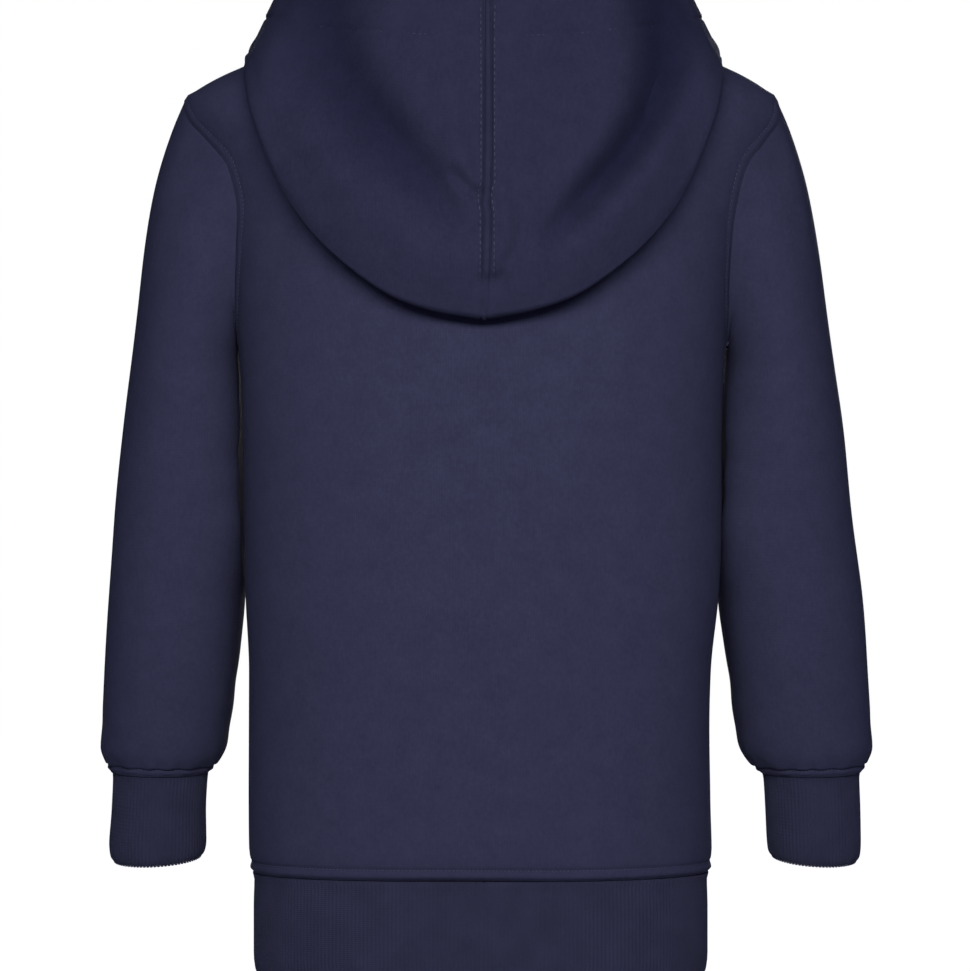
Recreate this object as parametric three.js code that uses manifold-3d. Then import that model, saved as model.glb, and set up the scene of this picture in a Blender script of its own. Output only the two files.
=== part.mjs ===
// Zip-up hoodie, hood down, filled out as if worn and empty inside. Millimetres, +Z up.
// The zip faces -Y, the back +Y, the wearer's left is +X. The origin is the middle of the neck, level with the
// high ends of the shoulder seams.
import * as THREE from "three";
import Module from "manifold-3d";

const wasm = await Module();
wasm.setup();

const FLEECE = 2.0; // wall of the fleece
const RIB = 3.0; // wall of the doubled rib
const CASING = 3.4; // wall of the folded hood edge
const SEAM = 0.4; // gap between two sewn pieces
const NECK_GAP = 0.7; // gap between the neckline and the hood
const LAY = 1.7; // gap kept between the body and what lies against it

const MIDDLE = 8; // Y of the widest points of the body, where the side and shoulder seams run
const SHOULDER = -50; // height of the shoulder points
const UNDERARM = -195; // height of the underarm points
const HEM = -511; // height of the seam between body and hem band
const BACK_NECK = -12; // height of the back of the neckline
const FRONT_NECK = -60; // height of the front of the neckline

// Sections of the body: half width, back and front Y, fullness of the corners (2 is an ellipse), sideways lean.
const BODY = [
  { z: 0, half: 78, back: 52, front: -36, full: 2.0, lean: 0 },
  { z: -12, half: 102, back: 62, front: -44, full: 2.0, lean: 0 },
  { z: -30, half: 141.5, back: 76, front: -55, full: 2.0, lean: 1 },
  { z: -37, half: 156.8, back: 80, front: -59.5, full: 2.0, lean: 1.5 },
  { z: -44, half: 169, back: 83.5, front: -63, full: 2.0, lean: 1.8 },
  { z: -50, half: 176.8, back: 86, front: -66, full: 2.0, lean: 2 },
  { z: -62, half: 178.8, back: 90, front: -71, full: 2.05, lean: 0.3 },
  { z: -77, half: 172, back: 93, front: -78.5, full: 2.1, lean: -1 },
  { z: -91, half: 165, back: 95, front: -84.5, full: 2.15, lean: -1.5 },
  { z: -110, half: 158, back: 97.5, front: -90, full: 2.2, lean: -1.5 },
  { z: -134, half: 152, back: 100, front: -95, full: 2.25, lean: 0 },
  { z: -170, half: 147.5, back: 102, front: -99, full: 2.3, lean: 1 },
  { z: -230, half: 143.8, back: 102, front: -101, full: 2.35, lean: 1 },
  { z: -344, half: 141.5, back: 100, front: -98, full: 2.4, lean: 1.5 },
  { z: -392, half: 138.2, back: 99, front: -96, full: 2.4, lean: 2 },
  { z: -434, half: 137.5, back: 99, front: -95.5, full: 2.4, lean: 2.4 },
  { z: -470, half: 137.9, back: 100, front: -96, full: 2.4, lean: 2.6 },
  { z: -497, half: 138.4, back: 101.5, front: -97.5, full: 2.4, lean: 2.2 },
  { z: -506, half: 137.2, back: 100, front: -96, full: 2.4, lean: 2 },
  { z: -511, half: 135.8, back: 97.5, front: -94, full: 2.4, lean: 2 },
];

// Heights of the rows of the body panels, below and above the armhole.
const BODY_ROWS = [-511, -506, -497, -470, -434, -392, -344, -287, -230];
const SHOULDER_ROWS = [-42, -31, -19, -8, 0];

// Angle the armhole cuts away from the side seam, on the back and on the front, by height.
const ARMHOLE = [
  { z: -50, back: 0, front: 0 },
  { z: -62, back: 10, front: 11 },
  { z: -77, back: 17, front: 20 },
  { z: -91, back: 22, front: 26 },
  { z: -110, back: 21, front: 29 },
  { z: -134, back: 16, front: 26 },
  { z: -165, back: 9, front: 15 },
  { z: -195, back: 0, front: 0 },
];

const BAND = [
  { z: -511.5, half: 136.0, back: 97.6, front: -94.2, full: 2.4, lean: 2 },
  { z: -515, half: 135.0, back: 96.8, front: -93.4, full: 2.4, lean: 2 },
  { z: -532, half: 135.4, back: 97.4, front: -94.0, full: 2.4, lean: 2 },
  { z: -560, half: 135.4, back: 97.4, front: -94.0, full: 2.4, lean: 2 },
  { z: -569, half: 134.4, back: 96.4, front: -93.0, full: 2.4, lean: 2 },
  { z: -573, half: 132.4, back: 94.4, front: -91.0, full: 2.4, lean: 2 },
];

// Rings of a sleeve from the armhole down. The outer point and the inner point give each ring its width and slant;
// mid and deep are its Y centre and half depth; tilt leans the ring forward; keep is what is left of the armhole's
// own curve. Two numbers are the wearer's left and right.
const SLEEVE = [
  { outer: [187.4, 186.2], outerZ: -68, inner: [145, 145], innerZ: -197, mid: -8, deep: 48, tilt: 0, keep: 0.62 },
  { outer: [197.0, 194.7], outerZ: -98, inner: [144, 144], innerZ: -199, mid: -13, deep: 51, tilt: 0, keep: 0.3 },
  { outer: [204.8, 202.0], outerZ: -139, inner: [143.5, 143.5], innerZ: -202, mid: -18, deep: 53, tilt: 0, keep: 0.1 },
  { outer: [210.3, 207.6], outerZ: -180, inner: [143, 143], innerZ: -206, mid: -22, deep: 54, tilt: 0, keep: 0 },
  { outer: [214.3, 212.7], outerZ: -216, inner: [142, 142], innerZ: -214, mid: -24, deep: 54, tilt: 0, keep: 0 },
  { outer: [218.1, 217.9], outerZ: -252, inner: [139, 137], innerZ: -252, mid: -24, deep: 51, tilt: 0, keep: 0 },
  { outer: [223.4, 222.9], outerZ: -300, inner: [137, 134], innerZ: -300, mid: -24, deep: 48, tilt: 1, keep: 0 },
  { outer: [227.3, 228.7], outerZ: -350, inner: [144.1, 140.7], innerZ: -350, mid: -26, deep: 45, tilt: 3, keep: 0 },
  { outer: [230.0, 232.1], outerZ: -393, inner: [149.3, 147.1], innerZ: -393, mid: -29, deep: 42, tilt: 6, keep: 0 },
  { outer: [231.8, 234.7], outerZ: -424, inner: [153.4, 151.3], innerZ: -424, mid: -32, deep: 39.5, tilt: 8, keep: 0 },
  { outer: [232.6, 235.8], outerZ: -439, inner: [155.9, 154.7], innerZ: -439, mid: -34, deep: 38, tilt: 9, keep: 0 },
  { outer: [231.4, 235.0], outerZ: -448, inner: [159.4, 159.0], innerZ: -448, mid: -35, deep: 34.5, tilt: 9, keep: 0 },
  { outer: [227.8, 230.9], outerZ: -454, inner: [165.5, 166.5], innerZ: -454, mid: -35.4, deep: 30, tilt: 9, keep: 0 },
];
const ARMHOLE_RING = { outer: [179, 179], outerZ: -50, inner: [146, 146], innerZ: -195, mid: -2, deep: 46, tilt: 0 };
const ARM_COLUMNS = 16;
const ARM_SEAM = 1.0;
const RING_KEEP = 2.2; // gap kept from the body by the sleeve's first ring
const ARMHOLE_HEART = { x: 168, y: 0, z: -122 };

const CUFF = [
  { outer: [226.6, 229.9], inner: [165.9, 166.9], z: -454.6, mid: -35.1, deep: 29.6 },
  { outer: [225.5, 228.7], inner: [167.4, 169.2], z: -458.6, mid: -35.8, deep: 28.4 },
  { outer: [226.1, 228.5], inner: [169.2, 171.2], z: -478.5, mid: -39, deep: 28.0 },
  { outer: [227.8, 229.0], inner: [169.1, 172.2], z: -499.0, mid: -42.2, deep: 28.0 },
  { outer: [227.4, 228.7], inner: [169.8, 172.9], z: -507.2, mid: -43.4, deep: 27.4 },
  { outer: [225.5, 226.7], inner: [171.9, 174.9], z: -510.8, mid: -44, deep: 25.4 },
];
const CUFF_TILT = 9;

// The hood by azimuth from the centre back: radius and height of the bottom of its fold, roundness of the fold, bulge
// of the outer layer, radius and height of its edge, and how far it is folded down (0 is a plain stand-up edge).
const HOOD = [
  { turn: 0, foldR: 113, foldZ: -185, round: 9, bulge: 8, edgeR: 104, edgeZ: 6, down: 1 },
  { turn: 12, foldR: 117, foldZ: -181, round: 9, bulge: 9, edgeR: 105, edgeZ: 6, down: 1 },
  { turn: 23, foldR: 123, foldZ: -174, round: 9, bulge: 10, edgeR: 107, edgeZ: 7, down: 1 },
  { turn: 37, foldR: 133, foldZ: -153, round: 9, bulge: 10, edgeR: 112, edgeZ: 10, down: 1 },
  { turn: 51, foldR: 143, foldZ: -117, round: 9, bulge: 8, edgeR: 117, edgeZ: 14, down: 1 },
  { turn: 60, foldR: 149, foldZ: -72, round: 9, bulge: 5, edgeR: 120, edgeZ: 17, down: 1 },
  { turn: 67, foldR: 146, foldZ: -49, round: 7, bulge: 3, edgeR: 119, edgeZ: 18, down: 1 },
  { turn: 74, foldR: 139, foldZ: -37, round: 6.5, bulge: 1, edgeR: 120, edgeZ: 20, down: 1 },
  { turn: 90, foldR: 132.5, foldZ: -26, round: 5.5, bulge: 0, edgeR: 120, edgeZ: 22, down: 1 },
  { turn: 110, foldR: 114, foldZ: -27, round: 5, bulge: 1, edgeR: 116, edgeZ: 14, down: 0.7 },
  { turn: 130, foldR: 96, foldZ: -38, round: 4, bulge: 0, edgeR: 102, edgeZ: -3, down: 0.2 },
  { turn: 150, foldR: 84, foldZ: -50, round: 3, bulge: 0, edgeR: 87, edgeZ: -22, down: 0 },
  { turn: 165, foldR: 78, foldZ: -56, round: 3, bulge: 0, edgeR: 78, edgeZ: -36, down: 0 },
  { turn: 180, foldR: 74, foldZ: -58, round: 3, bulge: 0, edgeR: 74, edgeZ: -46, down: 0 },
];
const HOOD_COLUMNS = 15;
const HOOD_ROWS = 15;
const HOOD_STAND = 10; // height the hood rises before it turns down
const CASING_ROWS = 2;
const HOOD_LAY = 3.9; // gap kept between the body and the hood that lies on it

const CROWD = 60; // angle from a side seam within which columns crowd up to the armhole
const BACK_COLUMNS = 20;
const FRONT_COLUMNS = 10;
const BAND_COLUMNS = 38;

const ZIP_EDGE = 5.4; // half the channel between the two front edges
const TAPE_WIDTH = 15;
const TAPE = 0.8;
const CHAIN_HALF = 2.7;
const CHAIN = 1.5;
const TAPE_INSET = 2.9; // from the face of the cloth to the face of the tape
const CHAIN_INSET = 0.9;
const HEM_DEEPER = -490; // below this the tape stands further in, behind the rib
const SLIDER_Z = -76;
const SLIDER = { half: 4.4, length: 11, wall: 1.6, nose: 2.6 };
const BRIDGE = { width: 2.4, length: 8, height: 3.4, bar: 1.3 };
const TAB = { half: 3.4, length: 27, wall: 1.4, slotHalf: 1.8, slot: 7.4, above: 0.7 };

const NAVY = 0x2e3049;
const NAVY_RIB = 0x282a40;
const NAVY_TAPE = 0x23253a;
const METAL = 0x8d8f94;

const cloth = new THREE.MeshStandardMaterial({ color: NAVY, roughness: 0.95, metalness: 0 });
const rib = new THREE.MeshStandardMaterial({ color: NAVY_RIB, roughness: 0.95, metalness: 0 });
const tapeCloth = new THREE.MeshStandardMaterial({ color: NAVY_TAPE, roughness: 0.8, metalness: 0 });
const resin = new THREE.MeshStandardMaterial({ color: NAVY_TAPE, roughness: 0.4, metalness: 0 });
const metal = new THREE.MeshStandardMaterial({ color: METAL, roughness: 0.35, metalness: 1 });

const hoodie = new THREE.Group();
hoodie.name = "zip_up_hoodie";

const radians = THREE.MathUtils.degToRad;
const vec = (x, y, z) => new THREE.Vector3(x, y, z);

// Reads a table by one of its columns, with a smooth curve that never overshoots its rows.
function reader(rows, key) {
  const sorted = [...rows].sort((p, q) => p[key] - q[key]);
  const rise = (i, column) =>
    (sorted[i + 1][column] - sorted[i][column]) / (sorted[i + 1][key] - sorted[i][key]);
  const slope = (i, column) => {
    if (i === 0 || i === sorted.length - 1) return rise(Math.min(i, sorted.length - 2), column);
    const before = rise(i - 1, column);
    const after = rise(i, column);
    return before * after <= 0 ? 0 : (2 * before * after) / (before + after);
  };
  return (at, column) => {
    const last = sorted.length - 1;
    if (at <= sorted[0][key]) return sorted[0][column];
    if (at >= sorted[last][key]) return sorted[last][column];
    let i = 0;
    while (sorted[i + 1][key] < at) i += 1;
    const span = sorted[i + 1][key] - sorted[i][key];
    const u = (at - sorted[i][key]) / span;
    const a = sorted[i][column];
    const b = sorted[i + 1][column];
    const m = slope(i, column) * span;
    const n = slope(i + 1, column) * span;
    return a + u * (m + u * (3 * (b - a) - 2 * m - n + u * (2 * (a - b) + m + n)));
  };
}

const body = reader(BODY, "z");
const band = reader(BAND, "z");
const armhole = reader(ARMHOLE, "z");
const hood = reader(HOOD, "turn");

const power = (value, exponent) => Math.sign(value) * Math.abs(value) ** exponent;

// A point of a section: angle 0 is the wearer's left side, 90 the centre back, -90 the centre front.
function sectionPoint(read, angle, z) {
  const c = Math.cos(radians(angle));
  const s = Math.sin(radians(angle));
  const bend = 2 / read(z, "full");
  const reach = read(z, s >= 0 ? "back" : "front") - MIDDLE;
  return vec(read(z, "lean") + read(z, "half") * power(c, bend), MIDDLE + Math.abs(reach) * power(s, bend), z);
}

// How far out a point is on the section at its height: 1 is on the cloth.
function reachOf(read, point) {
  const full = read(point.z, "full");
  const deep = Math.abs(read(point.z, point.y >= MIDDLE ? "back" : "front") - MIDDLE);
  const across = Math.abs(point.x - read(point.z, "lean")) / read(point.z, "half");
  return (across ** full + (Math.abs(point.y - MIDDLE) / deep) ** full) ** (1 / full);
}

function gradient(read, point) {
  const step = 0.05;
  const diff = (axis) => {
    const more = point.clone();
    const less = point.clone();
    more[axis] += step;
    less[axis] -= step;
    return (reachOf(read, more) - reachOf(read, less)) / (2 * step);
  };
  return vec(diff("x"), diff("y"), diff("z"));
}

// Moves a point out until it is clear of the body by a gap.
function clearOfBody(point, gap) {
  const rounds = 4;
  for (let i = 0; i < rounds && point.z < 0; i += 1) {
    const out = gradient(body, point);
    const away = (reachOf(body, point) - 1) / out.length();
    if (away < gap) point.addScaledVector(out.normalize(), gap - away);
  }
  return point;
}

// Height of a row of the body below the shoulder point, at an angle: rows dip toward the neckline, more at the front.
function dipped(angle, side) {
  const rise = Math.max(0, (side - UNDERARM) / -UNDERARM);
  return side + neckDrop(angle) * rise;
}

const neckDrop = (angle) => (angle >= 0 ? BACK_NECK : FRONT_NECK) * Math.sin(radians(angle)) ** 2;

// Where the neckline crosses a column: its width follows an oval, so its own angle is found from its height.
function neckAngle(angle) {
  const z = neckDrop(angle);
  const bend = 2 / body(z, "full");
  const wide = (body(0, "half") * Math.abs(Math.cos(radians(angle)))) / body(z, "half");
  const own = (Math.acos(wide ** (1 / bend)) * 180) / Math.PI;
  const turned = Math.abs(angle) > 90 ? 180 - own : own;
  return angle >= 0 ? turned : -turned;
}

// A point of the body on a column and a row. Rows are named by their height at the side or shoulder seam.
function bodyPoint(angle, side) {
  if (side <= SHOULDER) return sectionPoint(body, angle, dipped(angle, side));
  const share = (side - SHOULDER) / -SHOULDER;
  const z = dipped(angle, SHOULDER) * (1 - share) + neckDrop(angle) * share;
  return sectionPoint(body, angle * (1 - share) + neckAngle(angle) * share, z);
}

function cornerAngle(read, z, x) {
  return (Math.acos((x / read(z, "half")) ** (read(z, "full") / 2)) * 180) / Math.PI;
}

// One closed cloth piece from a grid of outer points and their outward directions.
function makeSheet(name, grid, outward, wall, material, closed = false) {
  const rows = grid.length;
  const columns = grid[0].length;
  const wallAt = typeof wall === "number" ? () => wall : wall;
  const positions = [];
  grid.forEach((row) => row.forEach((p) => positions.push(p.x, p.y, p.z)));
  grid.forEach((row, i) =>
    row.forEach((p, j) => {
      const q = p.clone().addScaledVector(outward[i][j], -wallAt(i, j));
      positions.push(q.x, q.y, q.z);
    }),
  );
  const outer = (i, j) => i * columns + (j % columns);
  const inner = (i, j) => rows * columns + outer(i, j);
  const index = [];
  const quad = (a, b, c, d) => index.push(a, b, c, a, c, d);
  const spans = closed ? columns : columns - 1;
  for (let i = 0; i < rows - 1; i += 1) {
    for (let j = 0; j < spans; j += 1) {
      quad(outer(i, j), outer(i, j + 1), outer(i + 1, j + 1), outer(i + 1, j));
      quad(inner(i, j), inner(i + 1, j), inner(i + 1, j + 1), inner(i, j + 1));
    }
  }
  for (let j = 0; j < spans; j += 1) {
    quad(outer(0, j), inner(0, j), inner(0, j + 1), outer(0, j + 1));
    quad(outer(rows - 1, j), outer(rows - 1, j + 1), inner(rows - 1, j + 1), inner(rows - 1, j));
  }
  for (let i = 0; i < rows - 1 && !closed; i += 1) {
    quad(outer(i, 0), outer(i + 1, 0), inner(i + 1, 0), inner(i, 0));
    quad(outer(i, columns - 1), inner(i, columns - 1), inner(i + 1, columns - 1), outer(i + 1, columns - 1));
  }
  const geometry = new THREE.BufferGeometry();
  geometry.setAttribute("position", new THREE.Float32BufferAttribute(positions, 3));
  geometry.setIndex(volumeOf(positions, index) < 0 ? turned(index) : index);
  addPiece(name, geometry, material);
}

function volumeOf(positions, index) {
  const corner = (i) => vec(positions[3 * i], positions[3 * i + 1], positions[3 * i + 2]);
  let total = 0;
  for (let i = 0; i < index.length; i += 3) {
    total += corner(index[i]).dot(corner(index[i + 1]).cross(corner(index[i + 2])));
  }
  return total;
}

function turned(index) {
  const out = [];
  for (let i = 0; i < index.length; i += 3) out.push(index[i], index[i + 2], index[i + 1]);
  return out;
}

function addPiece(name, geometry, material) {
  geometry.computeVertexNormals();
  const mesh = new THREE.Mesh(geometry, material);
  mesh.name = name;
  hoodie.add(mesh);
}

// Outward directions of a grid from its neighbours; sign chooses the side.
function directions(grid, sign, closed = false) {
  const rows = grid.length;
  const columns = grid[0].length;
  return grid.map((row, i) =>
    row.map((p, j) => {
      const before = closed ? (j + columns - 1) % columns : Math.max(0, j - 1);
      const after = closed ? (j + 1) % columns : Math.min(columns - 1, j + 1);
      const across = row[after].clone().sub(row[before]);
      const along = grid[Math.min(rows - 1, i + 1)][j].clone().sub(grid[Math.max(0, i - 1)][j]);
      return across.cross(along).normalize().multiplyScalar(sign);
    }),
  );
}

// The column, counted from a side seam, whose point on a row stands at the edge of the zip's channel.
function zipColumn(side) {
  let low = 60;
  let high = 90;
  const halvings = 20;
  for (let i = 0; i < halvings; i += 1) {
    const angle = (low + high) / 2;
    const p = bodyPoint(-angle, side);
    if (p.x - body(p.z, "lean") > ZIP_EDGE) low = angle;
    else high = angle;
  }
  return low;
}

// ---- body: back and two fronts ----

const armSpan = SHOULDER - UNDERARM;
const armHalf = ARM_COLUMNS / 2;
const armRow = (i) => UNDERARM + (armSpan * (1 - Math.cos((Math.PI * i) / armHalf))) / 2;
const ARM_ROWS = Array.from({ length: armHalf + 1 }, (_, i) => armRow(i));
const PANEL_ROWS = [...BODY_ROWS, ...ARM_ROWS, ...SHOULDER_ROWS];

const inArmhole = (side) => side > UNDERARM && side < SHOULDER;
const backEdge = (side) => (inArmhole(side) ? armhole(side, "back") : 0);
const frontEdge = (side) => (inArmhole(side) ? armhole(side, "front") : 0);

// Angles of the columns of a panel row: those near a cut end crowd up to it, the others stay in line.
function spread(full, cut, columns) {
  return Array.from({ length: columns + 1 }, (_, j) => {
    const plain = (full * j) / columns;
    return plain >= CROWD ? plain : cut + (plain * (CROWD - cut)) / CROWD;
  });
}

// A panel row at given angles; where an end lies on a side or shoulder seam it stands back by half the gap.
function panelRow(angles, facing, side) {
  return angles.map((angle) => {
    const p = bodyPoint(angle, side);
    const onSeam = Math.abs(angle % 180) === 0;
    if (onSeam) p.y += (facing * SEAM) / 2;
    return p;
  });
}

const bodyOutward = (grid) => grid.map((row) => row.map((p) => gradient(body, p).normalize()));

function makeBack() {
  const grid = PANEL_ROWS.map((side) => {
    const half = spread(90, backEdge(side), BACK_COLUMNS / 2);
    const mirrored = half.slice(0, -1).reverse();
    return panelRow([...half, ...mirrored.map((angle) => 180 - angle)], 1, side);
  });
  makeSheet("back_panel", grid, bodyOutward(grid), FLEECE, cloth);
}

function makeFront(name, left) {
  const grid = PANEL_ROWS.map((side) => {
    const angles = spread(zipColumn(side), frontEdge(side), FRONT_COLUMNS);
    return panelRow(left ? angles.map((angle) => -angle) : angles.map((angle) => angle - 180), -1, side);
  });
  makeSheet(name, grid, bodyOutward(grid), FLEECE, cloth);
}

// ---- hem band ----

function makeBand() {
  const rows = BAND.map((row) => row.z);
  const grid = rows.map((z) => {
    const zip = cornerAngle(band, z, ZIP_EDGE);
    const from = -zip;
    const to = 180 + zip;
    const row = [];
    for (let j = 0; j <= BAND_COLUMNS; j += 1) {
      const angle = from + ((to - from) * j) / BAND_COLUMNS;
      const wrapped = angle > 180 ? angle - 360 : angle;
      row.push(sectionPoint(band, wrapped, z));
    }
    return row;
  });
  const level = grid.map((row) =>
    row.map((p) => {
      const out = gradient(band, p);
      out.z = 0;
      return out.normalize();
    }),
  );
  makeSheet("hem_band", grid, level, RIB, rib);
}

// ---- sleeves and cuffs ----

// The armhole's own curve at a column of the sleeve, moved into the opening by the seam gap.
function armholePoint(column, sign) {
  const back = column <= armHalf;
  const i = back ? armHalf - column : column - armHalf;
  const side = armRow(i);
  const cut = back ? armhole(side, "back") : -armhole(side, "front");
  const p = bodyPoint(sign > 0 ? cut : Math.sign(cut) * 180 - cut, side);
  if (sign < 0 && cut === 0) p.copy(bodyPoint(180, side));
  const out = gradient(body, p).normalize();
  const toHeart = vec(sign * ARMHOLE_HEART.x, ARMHOLE_HEART.y, ARMHOLE_HEART.z).sub(p);
  toHeart.addScaledVector(out, -toHeart.dot(out)).normalize();
  return { point: p.addScaledVector(toHeart, ARM_SEAM), out };
}

function ringPoint(ring, sign, column, columns) {
  const side = sign > 0 ? 0 : 1;
  const turn = (2 * Math.PI * column) / columns;
  const c = Math.cos(turn);
  const y = ring.deep * Math.sin(turn);
  const x = (ring.outer[side] + ring.inner[side]) / 2 + ((ring.outer[side] - ring.inner[side]) / 2) * c;
  const outerZ = ring.outerZ ?? ring.z;
  const innerZ = ring.innerZ ?? ring.z;
  const slant = Math.tan(radians(ring.tilt ?? CUFF_TILT));
  const z = (outerZ + innerZ) / 2 + ((outerZ - innerZ) / 2) * c - y * slant;
  return vec(sign * x, ring.mid + y, z);
}

function makeSleeve(name, sign) {
  const roots = Array.from({ length: ARM_COLUMNS }, (_, j) => armholePoint(j, sign));
  const grid = [roots.map((root) => root.point)];
  SLEEVE.forEach((ring, i) => {
    const row = grid[0].map((root, j) => {
      const p = ringPoint(ring, sign, j, ARM_COLUMNS);
      const own = root.clone().sub(ringPoint(ARMHOLE_RING, sign, j, ARM_COLUMNS));
      p.addScaledVector(own, ring.keep);
      return clearOfBody(p, i === 0 ? RING_KEEP : LAY);
    });
    grid.push(row);
  });
  const outward = directions(grid, -sign, true);
  outward[0] = roots.map((root) => root.out);
  makeSheet(name, grid, outward, FLEECE, cloth, true);
}

function makeCuff(name, sign) {
  const grid = CUFF.map((ring) =>
    Array.from({ length: ARM_COLUMNS }, (_, j) => ringPoint(ring, sign, j, ARM_COLUMNS)),
  );
  const outward = grid.map((row) => {
    const centre = row.reduce((sum, p) => sum.add(p), vec(0, 0, 0)).divideScalar(row.length);
    return row.map((p) => p.clone().sub(centre).normalize());
  });
  makeSheet(name, grid, outward, RIB, rib, true);
}

// ---- hood ----

// Radius of the body at an azimuth from the centre back and a height; the sign chooses the wearer's left or right.
function bodyRadius(turn, z, sign) {
  const aim = vec(sign * Math.sin(radians(turn)), Math.cos(radians(turn)), 0);
  let low = 0;
  let high = 260;
  const halvings = 24;
  for (let i = 0; i < halvings; i += 1) {
    const r = (low + high) / 2;
    if (reachOf(body, vec(aim.x * r, aim.y * r, z)) < 1) low = r;
    else high = r;
  }
  return low;
}

function smooth(points, at) {
  const last = points.length - 1;
  const u = at * last;
  const i = Math.min(last - 1, Math.floor(u));
  const f = u - i;
  const pick = (k) => points[Math.max(0, Math.min(last, k))];
  const [p, q, r, s] = [pick(i - 1), pick(i), pick(i + 1), pick(i + 2)];
  const blend = (a, b, c, d) =>
    0.5 * (2 * b + (c - a) * f + (2 * a - 5 * b + 4 * c - d) * f * f + (3 * b - a - 3 * c + d) * f ** 3);
  return { r: blend(p.r, q.r, r.r, s.r), z: blend(p.z, q.z, r.z, s.z) };
}

// The hood's run from the neck seam, down the back, round its fold and up to its edge, at one azimuth.
function hoodRun(turn, neck, sign) {
  const fold = { r: hood(turn, "foldR"), z: hood(turn, "foldZ") };
  const round = hood(turn, "round");
  const bulge = hood(turn, "bulge");
  const edge = { r: hood(turn, "edgeR"), z: hood(turn, "edgeZ") };
  const near = (z, out) => ({ r: bodyRadius(turn, Math.min(z, 0), sign) + out, z });
  const deepest = near(fold.z + round, HOOD_LAY);
  const low = { r: fold.r + round, z: fold.z + round };
  const between = (share, out) => ({
    r: low.r + (edge.r - low.r) * share + out,
    z: low.z + (edge.z - low.z) * share,
  });
  const span = neck.z - fold.z;
  return [
    neck,
    { r: neck.r + 2, z: neck.z + HOOD_STAND * 0.7 },
    { r: neck.r + 7, z: neck.z + HOOD_STAND },
    near(neck.z - span * 0.12 + 2, HOOD_LAY + 4),
    near(neck.z - span * 0.4, HOOD_LAY + 1),
    near(neck.z - span * 0.7, HOOD_LAY),
    deepest,
    { r: fold.r - round * 0.6, z: fold.z + round * 0.3 },
    fold,
    { r: fold.r + round * 0.75, z: fold.z + round * 0.35 },
    low,
    between(0.25, bulge),
    between(0.5, bulge),
    between(0.78, bulge * 0.45),
    edge,
  ];
}

function makeHood(name, sign) {
  const rows = [];
  for (let i = 0; i < HOOD_ROWS; i += 1) rows.push([]);
  for (let j = 0; j <= HOOD_COLUMNS; j += 1) {
    const swing = (j / HOOD_COLUMNS) * (90 + zipColumn(0));
    const column = 90 - swing;
    const root = bodyPoint(sign > 0 ? column : (column < 0 ? -180 : 180) - column, 0);
    const radius = Math.hypot(root.x, root.y);
    const turn = (Math.atan2(sign * root.x, root.y) * 180) / Math.PI;
    const run = hoodRun(turn, { r: radius, z: root.z + NECK_GAP }, sign);
    const down = hood(turn, "down");
    const edge = run[run.length - 1];
    for (let i = 0; i < HOOD_ROWS; i += 1) {
      const share = i / (HOOD_ROWS - 1);
      const q = smooth(run, share);
      const plain = { r: radius + (edge.r - radius) * share, z: run[0].z + (edge.z - run[0].z) * share };
      const r = plain.r + (q.r - plain.r) * down;
      const z = plain.z + (q.z - plain.z) * down;
      const p = vec(sign * r * Math.sin(radians(turn)), r * Math.cos(radians(turn)), z);
      if (i > 1) clearOfBody(p, HOOD_LAY);
      if (j === 0) p.x = (sign * SEAM) / 2;
      rows[i].push(p);
    }
  }
  const outward = directions(rows, -sign);
  outward.forEach((row) => {
    row[0].x = 0;
    row[0].normalize();
  });
  const wall = (i) => (i >= HOOD_ROWS - CASING_ROWS ? CASING : FLEECE);
  makeSheet(name, rows, outward, wall, cloth);
}

// ---- zip ----

// Heights of the rows of the zip, down the centre front.
const ZIP_ROWS = [
  ...[-569, -560, -532, -515],
  ...BODY_ROWS,
  ...ARM_ROWS.filter((_, i) => i % 2 === 0),
  ...SHOULDER_ROWS.slice(1, 4),
].map((side) => (side < HEM ? side : bodyPoint(-90, side).z));

// A strip down the centre front: x range, how far its face lies inside the cloth's face, and its thickness.
function makeStrip(name, x0, x1, inset, wall, material) {
  const grid = [];
  const outward = [];
  ZIP_ROWS.forEach((z) => {
    const read = z < HEM ? band : body;
    const extra = z < HEM_DEEPER ? RIB - FLEECE : 0;
    const row = [];
    const out = [];
    [x0, x1].forEach((x) => {
      const p = sectionPoint(read, -cornerAngle(read, z, Math.abs(x)), z);
      p.x = x + read(z, "lean");
      const facing = gradient(read, vec(read(z, "lean"), p.y, z));
      facing.x = 0;
      if (z < HEM) facing.z = 0;
      facing.normalize();
      row.push(p.addScaledVector(facing, -inset - extra));
      out.push(facing);
    });
    grid.push(row);
    outward.push(out);
  });
  makeSheet(name, grid, outward, wall, material);
}

const solidFrom = (geometry) => {
  const g = geometry.index ? geometry.toNonIndexed() : geometry;
  const flat = g.getAttribute("position").array;
  const mesh = new wasm.Mesh({
    numProp: 3,
    vertProperties: new Float32Array(flat),
    triVerts: new Uint32Array(flat.length / 3).map((_, i) => i),
  });
  mesh.merge();
  return new wasm.Manifold(mesh);
};

function geometryFrom(solid) {
  const mesh = solid.getMesh();
  const geometry = new THREE.BufferGeometry();
  geometry.setAttribute("position", new THREE.BufferAttribute(new Float32Array(mesh.vertProperties), mesh.numProp));
  geometry.setIndex(new THREE.BufferAttribute(new Uint32Array(mesh.triVerts), 1));
  return geometry;
}

// The slider's own frame: X across, Y out of the cloth, Z up along it.
function sliderFrame() {
  const at = vec(body(SLIDER_Z, "lean"), body(SLIDER_Z, "front"), SLIDER_Z);
  const out = gradient(body, at).normalize();
  const across = vec(-1, 0, 0);
  const up = across.clone().cross(out).normalize();
  const frame = new THREE.Matrix4().makeBasis(across, out, up);
  frame.setPosition(at);
  return frame;
}

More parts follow.
